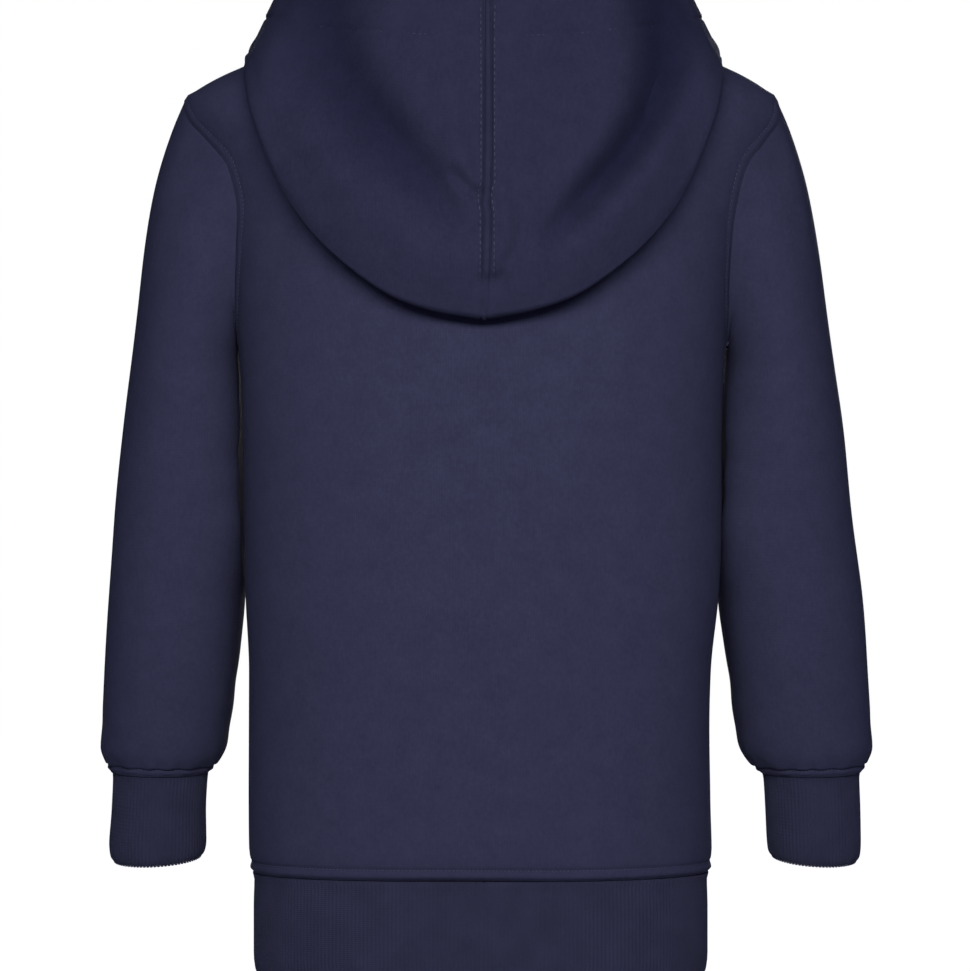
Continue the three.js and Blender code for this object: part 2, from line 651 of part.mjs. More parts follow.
// A flat plate drawn in X and Z and thickened along Y from y0 outward.
function plateSolid(outline, y0, depth) {
  const shape = new THREE.Shape(outline.map(([x, z]) => new THREE.Vector2(x, z)));
  const geometry = new THREE.ExtrudeGeometry(shape, { depth, bevelEnabled: false });
  geometry.rotateX(Math.PI / 2);
  geometry.translate(0, y0 + depth, 0);
  return solidFrom(geometry);
}

function boxSolid(x, y0, y1, z0, z1) {
  const geometry = new THREE.BoxGeometry(x, y1 - y0, z1 - z0);
  geometry.translate(0, (y0 + y1) / 2, (z0 + z1) / 2);
  return solidFrom(geometry);
}

function makeSlider(frame) {
  const { half, length, wall, nose } = SLIDER;
  const top = length / 2;
  const outline = [
    [-half, top - nose], [-half * 0.6, top], [half * 0.6, top], [half, top - nose],
    [half * 0.72, -top], [-half * 0.72, -top],
  ];
  const face = plateSolid(outline, 0.3, wall);
  const foot = 0.3 + wall;
  const arch = boxSolid(BRIDGE.width, foot - 0.2, foot + BRIDGE.height, -BRIDGE.length / 2, BRIDGE.length / 2);
  const inside = boxSolid(
    BRIDGE.width + 1,
    foot,
    foot + BRIDGE.height - BRIDGE.bar,
    -BRIDGE.length / 2 + BRIDGE.bar,
    BRIDGE.length / 2 - BRIDGE.bar,
  );
  const bridge = arch.subtract(inside);
  const geometry = geometryFrom(face.add(bridge));
  geometry.applyMatrix4(frame);
  addPiece("zip_slider", geometry, metal);
}

const tabPivotY = SLIDER.wall + 0.3 + TAB.wall / 2 + 0.35;
const tabPivotZ = -BRIDGE.length / 2 + BRIDGE.bar + TAB.above + 0.3;

function makeTab(frame) {
  const { half, length, wall, slotHalf, slot, above } = TAB;
  const outline = [
    [-half * 0.8, above], [half * 0.8, above], [half * 0.8, -slot], [half, -slot - 3], [half, -length + 2],
    [half - 2, -length], [-half + 2, -length], [-half, -length + 2], [-half, -slot - 3], [-half * 0.8, -slot],
  ];
  const hole = boxSolid(2 * slotHalf, -wall, wall, -slot, -above);
  const geometry = geometryFrom(plateSolid(outline, -wall / 2, wall).subtract(hole));
  geometry.translate(0, tabPivotY, tabPivotZ);
  geometry.applyMatrix4(frame);
  addPiece("pull_tab", geometry, metal);
}

makeBack();
makeFront("front_left", true);
makeFront("front_right", false);
makeBand();
makeSleeve("sleeve_left", 1);
makeSleeve("sleeve_right", -1);
makeCuff("cuff_left", 1);
makeCuff("cuff_right", -1);
makeHood("hood_left", 1);
makeHood("hood_right", -1);
makeStrip("zip_tape_left", 0.3, TAPE_WIDTH, TAPE_INSET, TAPE, tapeCloth);
makeStrip("zip_tape_right", -TAPE_WIDTH, -0.3, TAPE_INSET, TAPE, tapeCloth);
makeStrip("zip_chain", -CHAIN_HALF, CHAIN_HALF, CHAIN_INSET, CHAIN, resin);
const slider = sliderFrame();
makeSlider(slider);
makeTab(slider);

export default hoodie;
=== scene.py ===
import math

import bmesh
import bpy
import numpy as np
from mathutils import Matrix, Vector


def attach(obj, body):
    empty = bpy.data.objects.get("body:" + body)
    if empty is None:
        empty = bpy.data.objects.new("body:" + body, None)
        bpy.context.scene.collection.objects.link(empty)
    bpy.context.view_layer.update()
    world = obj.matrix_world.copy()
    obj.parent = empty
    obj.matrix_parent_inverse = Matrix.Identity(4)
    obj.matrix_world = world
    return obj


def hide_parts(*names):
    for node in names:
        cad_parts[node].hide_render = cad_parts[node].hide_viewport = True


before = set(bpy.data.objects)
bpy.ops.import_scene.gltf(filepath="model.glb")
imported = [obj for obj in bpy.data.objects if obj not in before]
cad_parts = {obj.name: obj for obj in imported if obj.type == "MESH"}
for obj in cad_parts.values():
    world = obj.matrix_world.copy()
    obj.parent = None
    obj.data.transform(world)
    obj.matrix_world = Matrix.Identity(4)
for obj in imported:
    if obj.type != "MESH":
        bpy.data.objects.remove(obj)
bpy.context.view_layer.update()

# A zip-up hoodie in navy sweatshirt fleece, filled out as if worn. Tables and shapes are in millimetres: the
# zip faces -Y, the wearer's left is +X, and Z is up from the middle of the neck.
MM = 0.001

# Walls of the fleece, of the doubled rib and of the hood's folded edge.
FLEECE = 2.0
RIB = 3.0
CASING = 3.4
# Gaps at the side seams, at the neck, and between the body and what lies on it. The sleeve's end is tucked
# under the armhole's edge, so its gap is below zero.
SEAM = 0.06
NECK_GAP = 0.7
LAY = 1.7
RING_KEEP = 2.2
HOOD_LAY = 3.9
ARM_SEAM = -0.8
# Heights of the armhole's ends, the hem, the neck's two dips, the hem band's top, middle and lower edge, and
# the zip's ends.
SHOULDER = -50
UNDERARM = -195
HEM = -511
BACK_NECK = -12
FRONT_NECK = -60
BAND_TOP = -511.5
BAND_MIDDLE = -545.0
BAND_LOW = -573
ZIP_TOP = -65.5
ZIP_LOW = -569.0
# Y of the body's middle, the column up to which the armhole crowds the others, a point in its middle, the
# columns round it, and how high the hood's cloth stands over the neck seam.
MIDDLE = 8
CROWD = 60
ARM_HEART = (168, 0, -122)
ARM_COLUMNS = 16
HOOD_STAND = 10
# Half the gap between the fronts, how far out from the middle a zip tape goes and how near to it, half the gap
# between the hood's halves, and how wide the hood's edge is folded over.
ZIP_EDGE = 5.4
TAPE_OUT = 15
TAPE_IN = 0.3
HOOD_GAP = 0.02
FOLDED = 25.5
# Distances of the stitch lines from the fronts' edge, the armhole, the hem, the sleeve's end, and the hood's
# centre seam and edge.
ZIP_STITCH = 6.5
ARM_STITCH = 5.9
HEM_STITCH = 6.2
CUFF_STITCH = 4.6
HOOD_STITCH = 4.1
CASING_STITCH = 26.5
# Steps of the sleeve's and the cuff's tables, ribs of the band and of a cuff, and mesh columns to a rib.
SLEEVE_STEPS = 13
CUFF_STEPS = 5
BAND_RIBS = 306
CUFF_RIBS = 76
RIB_COLUMNS = 4
SIDES = ((1, "left"), (-1, "right"))


def table(names, *rows):
    """Rows of numbers under named columns, read by the first one along a curve that never overshoots them."""
    names = names.split()
    rows = np.array(sorted(rows), float)
    at = rows[:, 0]

    def read(x, name):
        y = rows[:, names.index(name)]
        rise = np.diff(y) / np.diff(at)
        turn = rise[:-1] * rise[1:]
        slope = np.empty(len(y))
        slope[0], slope[-1] = rise[0], rise[-1]
        slope[1:-1] = np.where(turn > 0, 2 * turn / np.where(turn > 0, rise[:-1] + rise[1:], 1), 0)
        x = np.clip(x, at[0], at[-1])
        i = np.clip(np.searchsorted(at, x, side="right") - 1, 0, len(at) - 2)
        span = at[i + 1] - at[i]
        t = (x - at[i]) / span
        a, b, m, n = y[i], y[i + 1], slope[i] * span, slope[i + 1] * span
        return a + t * (m + t * (3 * (b - a) - 2 * m - n + t * (2 * (a - b) + m + n)))

    return read


# Sections of the body and of the hem band by height.
body = table(
    "z half back front full lean",
    (0, 78, 52, -36, 2.0, 0),
    (-12, 102, 62, -44, 2.0, 0),
    (-30, 141.5, 76, -55, 2.0, 1),
    (-37, 156.8, 80, -59.5, 2.0, 1.5),
    (-44, 169, 83.5, -63, 2.0, 1.8),
    (-50, 176.8, 86, -66, 2.0, 2),
    (-62, 178.8, 90, -71, 2.05, 0.3),
    (-77, 172, 93, -78.5, 2.1, -1),
    (-91, 165, 95, -84.5, 2.15, -1.5),
    (-110, 158, 97.5, -90, 2.2, -1.5),
    (-134, 152, 100, -95, 2.25, 0),
    (-170, 147.5, 102, -99, 2.3, 1),
    (-230, 143.8, 102, -101, 2.35, 1),
    (-344, 141.5, 100, -98, 2.4, 1.5),
    (-392, 138.2, 99, -96, 2.4, 2),
    (-434, 137.5, 99, -95.5, 2.4, 2.4),
    (-470, 137.9, 100, -96, 2.4, 2.6),
    (-497, 138.4, 101.5, -97.5, 2.4, 2.2),
    (-506, 137.2, 100, -96, 2.4, 2),
    (-511, 135.8, 97.5, -94, 2.4, 2),
)
band = table(
    "z half back front full lean",
    (-511.5, 136.0, 97.6, -94.2, 2.4, 2),
    (-515, 135.0, 96.8, -93.4, 2.4, 2),
    (-532, 135.4, 97.4, -94.0, 2.4, 2),
    (-560, 135.4, 97.4, -94.0, 2.4, 2),
    (-569, 134.4, 96.4, -93.0, 2.4, 2),
    (-573, 132.4, 94.4, -91.0, 2.4, 2),
)
# Angle that the armhole cuts away from the side seam.
armhole = table(
    "z back front",
    (-50, 0, 0),
    (-62, 10, 11),
    (-77, 17, 20),
    (-91, 22, 26),
    (-110, 21, 29),
    (-134, 16, 26),
    (-165, 9, 15),
    (-195, 0, 0),
)
# Rings of a sleeve and a cuff: outer and inner X on the wearer's left and right, heights, middle and depth,
# tilt, and how much is left of the armhole's own curve.
SLEEVE_NAMES = "t outer_left outer_right outer_z inner_left inner_right inner_z mid deep tilt keep"
sleeve = table(
    SLEEVE_NAMES,
    (0, 179, 179, -50, 146, 146, -195, -2, 46, 0, 1),
    (1, 187.4, 186.2, -68, 145, 145, -197, -8, 48, 0, 0.62),
    (2, 197.0, 194.7, -98, 144, 144, -199, -13, 51, 0, 0.3),
    (3, 204.8, 202.0, -139, 143.5, 143.5, -202, -18, 53, 0, 0.1),
    (4, 210.3, 207.6, -180, 143, 143, -206, -22, 54, 0, 0),
    (5, 214.3, 212.7, -216, 142, 142, -214, -24, 54, 0, 0),
    (6, 218.1, 217.9, -252, 139, 137, -252, -24, 51, 0, 0),
    (7, 223.4, 222.9, -300, 137, 134, -300, -24, 48, 1, 0),
    (8, 227.3, 228.7, -350, 144.1, 140.7, -350, -26, 45, 2, 0),
    (9, 230.0, 232.1, -393, 149.3, 147.1, -393, -29, 42, 3, 0),
    (10, 231.8, 234.7, -424, 153.4, 151.3, -424, -32, 39.5, 4, 0),
    (11, 232.6, 235.8, -439, 155.9, 154.7, -439, -34, 38, 4, 0),
    (12, 229.4, 232.6, -448, 161.0, 160.8, -448, -35, 34.5, 4, 0),
    (13, 225.6, 228.4, -454, 167.2, 168.6, -454, -35.4, 29.4, 4, 0),
)
cuff = table(
    SLEEVE_NAMES,
    (0, 225.2, 228.0, -454.6, 167.5, 168.8, -454.6, -35.1, 29.0, 4, 0),
    (1, 225.0, 227.6, -458.6, 168.0, 169.8, -458.6, -35.8, 28.3, 4, 0),
    (2, 226.1, 228.5, -478.5, 169.2, 171.2, -478.5, -39, 28.0, 5, 0),
    (3, 227.8, 229.0, -498.0, 169.1, 172.2, -496.0, -42.2, 28.0, 6.5, 0),
    (4, 227.2, 228.5, -505.4, 170.0, 173.1, -502.6, -43.4, 27.4, 7.5, 0),
    (5, 224.9, 226.1, -509.2, 172.5, 175.5, -506.2, -44, 25.0, 8, 0),
)
# The hood by azimuth from the centre back.
hood = table(
    "turn fold_r fold_z round bulge edge_r edge_z down",
    (0, 113, -185, 6, 8, 104, 6, 1),
    (12, 117, -181, 6, 9, 105, 6, 1),
    (23, 123, -174, 6, 10, 107, 7, 1),
    (37, 132, -153, 6, 10, 112, 10, 1),
    (51, 142, -117, 6.5, 8, 117, 14, 1),
    (60, 149, -72, 8, 5, 120, 17, 1),
    (67, 146, -49, 7, 3, 119, 18, 1),
    (74, 139, -37, 6.5, 1, 120, 20, 1),
    (90, 132.5, -26, 5.5, 0, 120, 22, 1),
    (110, 114, -27, 5, 1, 116, 14, 0.7),
    (130, 96, -38, 4, 0, 102, -3, 0.2),
    (150, 84, -50, 3, 0, 87, -22, 0),
    (165, 78, -56, 3, 0, 78, -36, 0),
    (180, 74, -58, 3, 0, 74, -46, 0),
)

# ---- surfaces ----


def section(read, angle, z):
    """A point of a section: angle 0 is the wearer's left, 90 the centre back and -90 the centre front."""
    c, s = np.cos(np.radians(angle)), np.sin(np.radians(angle))
    bend = 2 / read(z, "full")
    reach = np.abs(np.where(s >= 0, read(z, "back"), read(z, "front")) - MIDDLE)
    x = read(z, "lean") + read(z, "half") * np.sign(c) * np.abs(c) ** bend
    y = MIDDLE + reach * np.sign(s) * np.abs(s) ** bend
    return np.stack([x, y, z + 0 * x], -1)


def reach_of(read, p):
    """How far out a point is on the section at its height: 1 is on the cloth."""
    x, y, z = p[..., 0], p[..., 1], p[..., 2]
    full = read(z, "full")
    deep = np.abs(np.where(y >= MIDDLE, read(z, "back"), read(z, "front")) - MIDDLE)
    across = np.abs(x - read(z, "lean")) / read(z, "half")
    return (across**full + (np.abs(y - MIDDLE) / deep) ** full) ** (1 / full)


def unit(v):
    return v / np.maximum(np.linalg.norm(v, axis=-1, keepdims=True), 1e-9)


def gradient(read, p):
    steps = 0.05 * np.eye(3)
    return np.stack([(reach_of(read, p + d) - reach_of(read, p - d)) / 0.1 for d in steps], -1)


def clear_of_body(p, gap):
    """Moves points out until they are clear of the body by a gap."""
    for _ in range(4):
        out = gradient(body, p)
        length = np.linalg.norm(out, axis=-1)
        away = (reach_of(body, p) - 1) / length
        short = np.where((p[..., 2] < 0) & (away < gap), gap - away, 0)
        p = p + unit(out) * short[..., None]
    return p


def neck_drop(angle):
    return np.where(angle >= 0, BACK_NECK, FRONT_NECK) * np.sin(np.radians(angle)) ** 2


def dipped(angle, side):
    return side + neck_drop(angle) * np.maximum(0, (side - UNDERARM) / -UNDERARM)


def neck_angle(angle):
    z = neck_drop(angle)
    wide = body(0, "half") * np.abs(np.cos(np.radians(angle))) / body(z, "half")
    own = np.degrees(np.arccos(np.clip(wide ** (body(z, "full") / 2), 0, 1)))
    turned = np.where(np.abs(angle) > 90, 180 - own, own)
    return np.where(angle >= 0, turned, -turned)


def body_point(angle, side):
    """A point of the body on a column and a row, named by its height at the side or shoulder seam."""
    angle, side = np.broadcast_arrays(np.asarray(angle, float), np.asarray(side, float))
    share = np.maximum(0, (side - SHOULDER) / -SHOULDER)
    z = dipped(angle, np.minimum(side, SHOULDER)) * (1 - share) + neck_drop(angle) * share
    return section(body, angle * (1 - share) + neck_angle(angle) * share, z)


def corner_angle(read, z, x):
    return np.degrees(np.arccos((x / read(z, "half")) ** (read(z, "full") / 2)))


def solve(low, high, short, halvings=22):
    """Halves ranges until their ends meet where short() turns false."""
    for _ in range(halvings):
        middle = (low + high) / 2
        less = short(middle)
        low, high = np.where(less, middle, low), np.where(less, high, middle)
    return low


def zip_column(side):
    """The column, counted from a side seam, that stands at the edge of the zip's channel."""
    side = np.asarray(side, float)

    def outside(angle):
        p = body_point(-angle, side)
        return p[..., 0] - body(p[..., 2], "lean") > ZIP_EDGE

    return solve(np.full(side.shape, 60.0), np.full(side.shape, 90.0), outside, 20)


def crowded(plain, cut):
    return np.where(plain >= CROWD, plain, cut + plain * (CROWD - cut) / CROWD)


def back_place(u, v):
    side = HEM * (1 - v)
    cut = armhole(side, "back")
    half = crowded(180 * np.minimum(u, 1 - u), cut)
    p = body_point(np.where(u <= 0.5, half, 180 - half), side)
    p[..., 1] += SEAM / 2 * (np.minimum(u, 1 - u) <= 0)
    return p


def front_place(sign):
    def place(u, v):
        side = HEM * (1 - v)
        angle = crowded(zip_column(side) * u, armhole(side, "front"))
        p = body_point(-angle if sign > 0 else angle - 180, side)
        p[..., 1] -= SEAM / 2 * (u <= 0)
        return p

    return place


def arm_height(i):
    return UNDERARM + (SHOULDER - UNDERARM) * (1 - np.cos(np.pi * i / (ARM_COLUMNS / 2))) / 2


def armhole_point(column, sign):
    """The sleeve's end, tucked under the armhole's edge: column 0 is the shoulder, half way the underarm."""
    column = np.mod(column, ARM_COLUMNS)
    at_back = column <= ARM_COLUMNS / 2
    side = arm_height(np.abs(ARM_COLUMNS / 2 - column))
    cut = np.where(at_back, armhole(side, "back"), -armhole(side, "front"))
    angle = cut if sign > 0 else np.where(at_back, 180 - cut, -180 - cut)
    p = body_point(angle, side)
    out = unit(gradient(body, p))
    to_heart = ARM_HEART * np.array([sign, 1, 1]) - p
    to_heart = unit(to_heart - out * np.sum(to_heart * out, -1)[..., None])
    return p + to_heart * ARM_SEAM


def ring_point(read, t, sign, turn):
    side = "left" if sign > 0 else "right"
    outer, inner = read(t, "outer_" + side), read(t, "inner_" + side)
    outer_z, inner_z = read(t, "outer_z"), read(t, "inner_z")
    y = read(t, "deep") * np.sin(turn)
    x = (outer + inner) / 2 + (outer - inner) / 2 * np.cos(turn)
    z = (outer_z + inner_z) / 2 + (outer_z - inner_z) / 2 * np.cos(turn)
    return np.stack([sign * x, read(t, "mid") + y, z - y * np.tan(np.radians(read(t, "tilt")))], -1)


def sleeve_place(sign):
    def place(u, v):
        t, turn = SLEEVE_STEPS * v, 2 * np.pi * u
        own = armhole_point(ARM_COLUMNS * u, sign) - ring_point(sleeve, 0 * t, sign, turn)
        p = ring_point(sleeve, t, sign, turn) + own * sleeve(t, "keep")[..., None]
        gap = np.where(t < 1, RING_KEEP * t, LAY + (RING_KEEP - LAY) * np.clip(2 - t, 0, 1))
        return clear_of_body(p, gap)

    return place


def cuff_place(sign):
    return lambda u, v: ring_point(cuff, CUFF_STEPS * v, sign, 2 * np.pi * u)


def even_turns(count=720):
    """The band's own angle at even steps of its length, so that its ribs are equally wide all round."""
    z = np.full(count + 1, BAND_MIDDLE)
    share = np.linspace(0, 1, count + 1)
    edge = corner_angle(band, z, ZIP_EDGE)
    p = section(band, -edge + (180 + 2 * edge) * share, z)
    run = np.concatenate([[0], np.cumsum(np.linalg.norm(np.diff(p, axis=0), axis=1))])
    return run / run[-1], share


BAND_RUN, BAND_SHARE = even_turns()


def band_place(u, v):
    z = BAND_LOW + (BAND_TOP - BAND_LOW) * v
    edge = corner_angle(band, z, ZIP_EDGE)
    share = np.interp(u, BAND_RUN, BAND_SHARE)
    return section(band, -edge + (180 + 2 * edge) * share, z)


def body_radius(turn, z, sign):
    """How far out the body's cloth is from the neck's middle, by azimuth and height."""
    aim = np.stack([sign * np.sin(np.radians(turn)), np.cos(np.radians(turn))], -1)

    def inside(r):
        p = np.concatenate([aim * r[..., None], (z + 0 * r)[..., None]], -1)
        return reach_of(body, p) < 1

    return solve(np.zeros(turn.shape), np.full(turn.shape, 260.0), inside, 24)


def hood_run(turn, neck_r, neck_z, sign):
    """Radius and height of the points that the hood's cloth runs through, from the neck seam to its edge."""
    fold_r, fold_z = hood(turn, "fold_r"), hood(turn, "fold_z")
    curl, bulge = hood(turn, "round"), hood(turn, "bulge")
    edge_r, edge_z = hood(turn, "edge_r"), hood(turn, "edge_z")
    low_r, low_z = fold_r + curl, fold_z + curl
    span = neck_z - fold_z

    def near(z, out):
        return body_radius(turn, np.minimum(z, 0), sign) + out, z

    def between(share, out):
        return low_r + (edge_r - low_r) * share + out, low_z + (edge_z - low_z) * share

    run = [
        (neck_r, neck_z),
        (neck_r + 2, neck_z + HOOD_STAND * 0.7),
        (neck_r + 7, neck_z + HOOD_STAND),
        near(neck_z - span * 0.12 + 2, HOOD_LAY + 4),
        near(neck_z - span * 0.4, HOOD_LAY + 1),
        near(neck_z - span * 0.7, HOOD_LAY),
        near(fold_z + curl, HOOD_LAY),
        (fold_r - curl * 0.6, fold_z + curl * 0.3),
        (fold_r, fold_z),
        (fold_r + curl * 0.75, fold_z + curl * 0.35),
        (low_r, low_z),
        between(0.25, bulge),
        between(0.5, bulge),
        between(0.78, bulge * 0.45),
        (edge_r, edge_z),
    ]
    return np.array([r for r, _ in run]), np.array([z for _, z in run])


def through(run_r, run_z, at):
    """A smooth curve through rows of points, whose bends are as tight as its steps are short."""
    points = np.stack([run_r, run_z], -1)
    step = np.diff(points, axis=0)
    length = np.maximum(np.linalg.norm(step, axis=-1, keepdims=True), 1e-6)
    way = step / length
    bend = (way[:-1] * length[1:] + way[1:] * length[:-1]) / (length[1:] + length[:-1])
    bend = np.concatenate([way[:1], bend, way[-1:]])
    i = np.clip(np.floor(at * len(step)).astype(int), 0, len(step) - 1)
    f = (at * len(step) - i)[..., None]
    column = np.arange(points.shape[1])
    a, b, reach = points[i, column], points[i + 1, column], length[i, column]
    m, n = bend[i, column] * reach, bend[i + 1, column] * reach
    made = a + f * (m + f * (3 * (b - a) - 2 * m - n + f * (2 * (a - b) + m + n)))
    return made[..., 0], made[..., 1]


def hood_place(sign):
    def place(u, v):
        u, v = np.broadcast_arrays(np.asarray(u, float), np.asarray(v, float))
        column = 90 - u * (90 + zip_column(0))
        root = body_point(column if sign > 0 else np.where(column < 0, -180, 180) - column, 0.0)
        radius = np.hypot(root[..., 0], root[..., 1])
        turn = np.degrees(np.arctan2(sign * root[..., 0], root[..., 1]))
        steps, back = np.unique(turn.round(9), return_inverse=True)
        first = np.zeros(len(steps), int)
        first[back.ravel()] = np.arange(turn.size)
        neck_z = root[..., 2].ravel()[first] + NECK_GAP
        run_r, run_z = hood_run(steps, radius.ravel()[first], neck_z, sign)
        back = back.reshape(turn.shape)
        r, z = through(run_r[:, back], run_z[:, back], v)
        plain_r = radius + (run_r[-1][back] - radius) * v
        plain_z = run_z[0][back] + (run_z[-1] - run_z[0])[back] * v
        down = hood(turn, "down")
        r, z = plain_r + (r - plain_r) * down, plain_z + (z - plain_z) * down
        p = np.stack([sign * r * np.sin(np.radians(turn)), r * np.cos(np.radians(turn)), z], -1)
        p = clear_of_body(p, HOOD_LAY * smooth_step(1 / 14, 2 / 14, v))
        p[..., 0] = sign * np.maximum(np.abs(p[..., 0]), 0.06)
        near_seam = np.exp(-((p[..., 0] / 30) ** 2)) * smooth_step(20, 60, p[..., 1])
        p[..., 0] += seam_line(p[..., 2], v) * near_seam
        outer = smooth_step(0.60, 0.72, v) * smooth_step(20, 60, p[..., 1])
        p[..., 1] -= outer * sum(sunk(p[..., [0, 2]], line) for line in HOOD_FOLDS)
        return p

    return place


def smooth_step(low, high, x):
    t = np.clip((x - low) / (high - low), 0, 1)
    return t * t * (3 - 2 * t)


def hump(x, at, half):
    return np.exp(-(((x - at) / half) ** 2))


def plateau(x, width, soft):
    return 1 / (1 + np.exp(np.minimum((x - width) / soft, 60)))


def away(p, line):
    """Distance of points from a line of points, all in the same two or three directions."""
    line = np.asarray(line, float)
    best = np.full(p.shape[:-1], 1e9)
    for a, b in zip(line[:-1], line[1:]):
        d = b - a
        t = np.clip(((p - a) @ d) / max(d @ d, 1e-9), 0, 1)
        best = np.minimum(best, np.linalg.norm(p - a - t[..., None] * d, axis=-1))
    return best


# Sideways sway of the hood's centre seam by height, where the outer layer creases across.
sway = table(
    "z x",
    (-190, -1.1), (-150, -1.7), (-125, -1.9), (-118, -0.9),
    (-113, -0.8), (-106, -2.2), (-60, -2.4), (10, -2.2),
)


def seam_line(z, v):
    """Where the hood's centre seam runs in X."""
    return sway(z, "x") * smooth_step(0.66, 0.74, v)


# Folds of the hood's outer layer, each as points of X, Z, half width on the seam's side and the far side, and
# how far the cloth sinks or, below zero, stands out there.
BIG_FOLDS = (
    (
        (97, 10, 24, 30, 13), (86, -38, 17, 22, 15), (65, -67, 15, 22, 16),
        (46, -88, 13, 20, 14), (30, -106, 10, 16, 10), (18, -128, 8, 11, 4),
    ),
    (
        (-106, 10, 20, 30, 15), (-106, -34, 14, 17, 17), (-97, -64, 12, 11, 17),
        (-77, -94, 10, 10, 16), (-56, -117, 9, 9, 12), (-38, -137, 8, 8, 5),
    ),
)
SMALL_FOLDS = (
    ((-56, -12, 24, 22, 5), (-46, -60, 19, 24, 6), (-30, -96, 15, 20, 5), (-16, -120, 9, 12, 2)),
    ((100, -72, 13, 13, -2), (84, -104, 12, 12, -2.6), (60, -130, 12, 12, -2.6), (36, -150, 12, 10, -1.5)),
    ((-112, -70, 9, 9, -1.6), (-98, -100, 10, 10, -2.6), (-74, -128, 11, 10, -2.6), (-46, -152, 11, 9, -1.5)),
    ((22, -20, 6, 9, -2.4), (18, -70, 6, 9, -3), (12, -94, 5, 7, -3), (8, -106, 4, 5, -1.6)),
    ((-12, -16, 6, 8, -2), (-13, -60, 6, 9, -2.2), (-9, -88, 5, 7, -1.2)),
    ((-10, -112, 4, 5, -2), (-13, -128, 5, 6, -2.8), (-15, -142, 5, 6, -1.6)),
    ((-27, -118, 8, 6, 3.6), (-21, -140, 8, 6, 4.6), (-9, -166, 6, 5, 3)),
    ((18, -101, 4, 4, 3), (6, -112, 3.4, 3.4, 4), (1, -113, 2.5, 2.5, 2.6)),
    ((4, -164, 3, 3, 2.4), (-10, -162, 3.5, 3.5, 2.6)),
    ((16, -148, 12, 14, -2), (38, -136, 14, 14, -1.4)),
)
# Depth of a big fold, in millimetres, at which its painted shade is full.
FULL_PAINTED_SHADE = 16


def eased(line):
    """A fold's line with its corners cut, so that it bends softly."""
    line = np.array(line, float)
    for _ in range(2):
        a, b = line[:-1], line[1:]
        cut = np.stack([0.75 * a + 0.25 * b, 0.25 * a + 0.75 * b], 1).reshape(-1, line.shape[1])
        line = np.concatenate([line[:1], cut, line[-1:]])
    return line


HOOD_FOLDS = [eased(line) for line in BIG_FOLDS] + [np.array(line, float) for line in SMALL_FOLDS]


def sunk(flat, line):
    """How far a fold takes the cloth in, by the width and depth at the nearest point of its line."""
    best = np.full(flat.shape[:-1], 1e9)
    made = np.zeros(flat.shape[:-1])
    for a, b in zip(line[:-1], line[1:]):
        d = b[:2] - a[:2]
        t = np.clip(((flat - a[:2]) @ d) / (d @ d), 0, 1)
        near = a + t[..., None] * (b - a)
        far = np.linalg.norm(flat - near[..., :2], axis=-1)
        seam_side = smooth_step(-7, 7, np.abs(near[..., 0]) - np.abs(flat[..., 0]))
        half = near[..., 3] + (near[..., 2] - near[..., 3]) * seam_side
        made = np.where(far < best, near[..., 4] * np.exp(-((far / half) ** 2)), made)
        best = np.minimum(best, far)
    return made


def painted_fold_shade(p):
    """How much painted shade darkens the cloth's colour in the hood's two big folds, from 0 to 1."""
    flat = p[..., [0, 2]]
    deep = 0.8 * sunk(flat, HOOD_FOLDS[0]) / FULL_PAINTED_SHADE + sunk(flat, HOOD_FOLDS[1]) / FULL_PAINTED_SHADE
    return np.clip(deep, 0, 1) * smooth_step(20, 60, p[..., 1])


# ---- relief: how far the finished cloth stands out from the plain surface ----


def drift(p, size=1.0):
    """Slow unevenness of filled-out fleece."""
    x, y, z = p[..., 0], p[..., 1], p[..., 2]
    a = np.sin(x / 31 + 0.7 * np.sin(z / 47)) * np.cos(z / 39 + y / 33 + 1.1)
    b = np.sin(z / 21 + x / 57 + 0.4) * np.cos(x / 24 - y / 29)
    return size * (0.55 * a + 0.35 * b)


ARM_LINES = {sign: armhole_point(np.linspace(0, ARM_COLUMNS, 97), sign) for sign, _ in SIDES}


def seam_band(d):
    """A topstitched seam: the cloth lies thicker up to the stitches, and dips along them."""
    width = 5.2
    return 0.55 * plateau(d, width, 0.5) - 0.35 * hump(d, width + 0.6, 1.1)


def hem_roll(z):
    """The sweatshirt's lower edge, sewn to the band: a round roll between two grooves."""
    d = z - HEM
    roll = 0.3 * plateau(d, 5.2, 0.4) + 1.0 * hump(d, 2.9, 1.5)
    return roll - 0.6 * hump(d, 6.5, 1.0) - 0.4 * hump(d, 0, 0.8)


def seamed(z):
    """Heights where a panel's side edge is a side seam or a shoulder seam."""
    return np.where(z < UNDERARM, 1, smooth_step(SHOULDER + 1, SHOULDER + 8, z))


def arm_and_hem(p):
    near_arm = np.minimum(away(p, ARM_LINES[1]), away(p, ARM_LINES[-1]))
    return seam_band(near_arm) + hem_roll(p[..., 2])


def body_relief(u, v, p, lu, lv):
    seams = arm_and_hem(p)
    side = hump(np.minimum(u, 1 - u) * lu, 0, 2.0) * seamed(p[..., 2])
    return drift(p) + seams - 0.5 * side


def front_relief(u, v, p, lu, lv):
    from_zip = (1 - u) * lu
    z = p[..., 2]
    pucker = 0.55 * np.sin(z / 4.1 + 0.8 * np.sin(z / 17)) * np.exp(-from_zip / 9)
    seams = arm_and_hem(p) - 0.4 * hump(from_zip, ZIP_STITCH, 1.3)
    side = hump(u * lu, 0, 2.0) * seamed(z)
    return drift(p) + seams + pucker - 0.5 * side


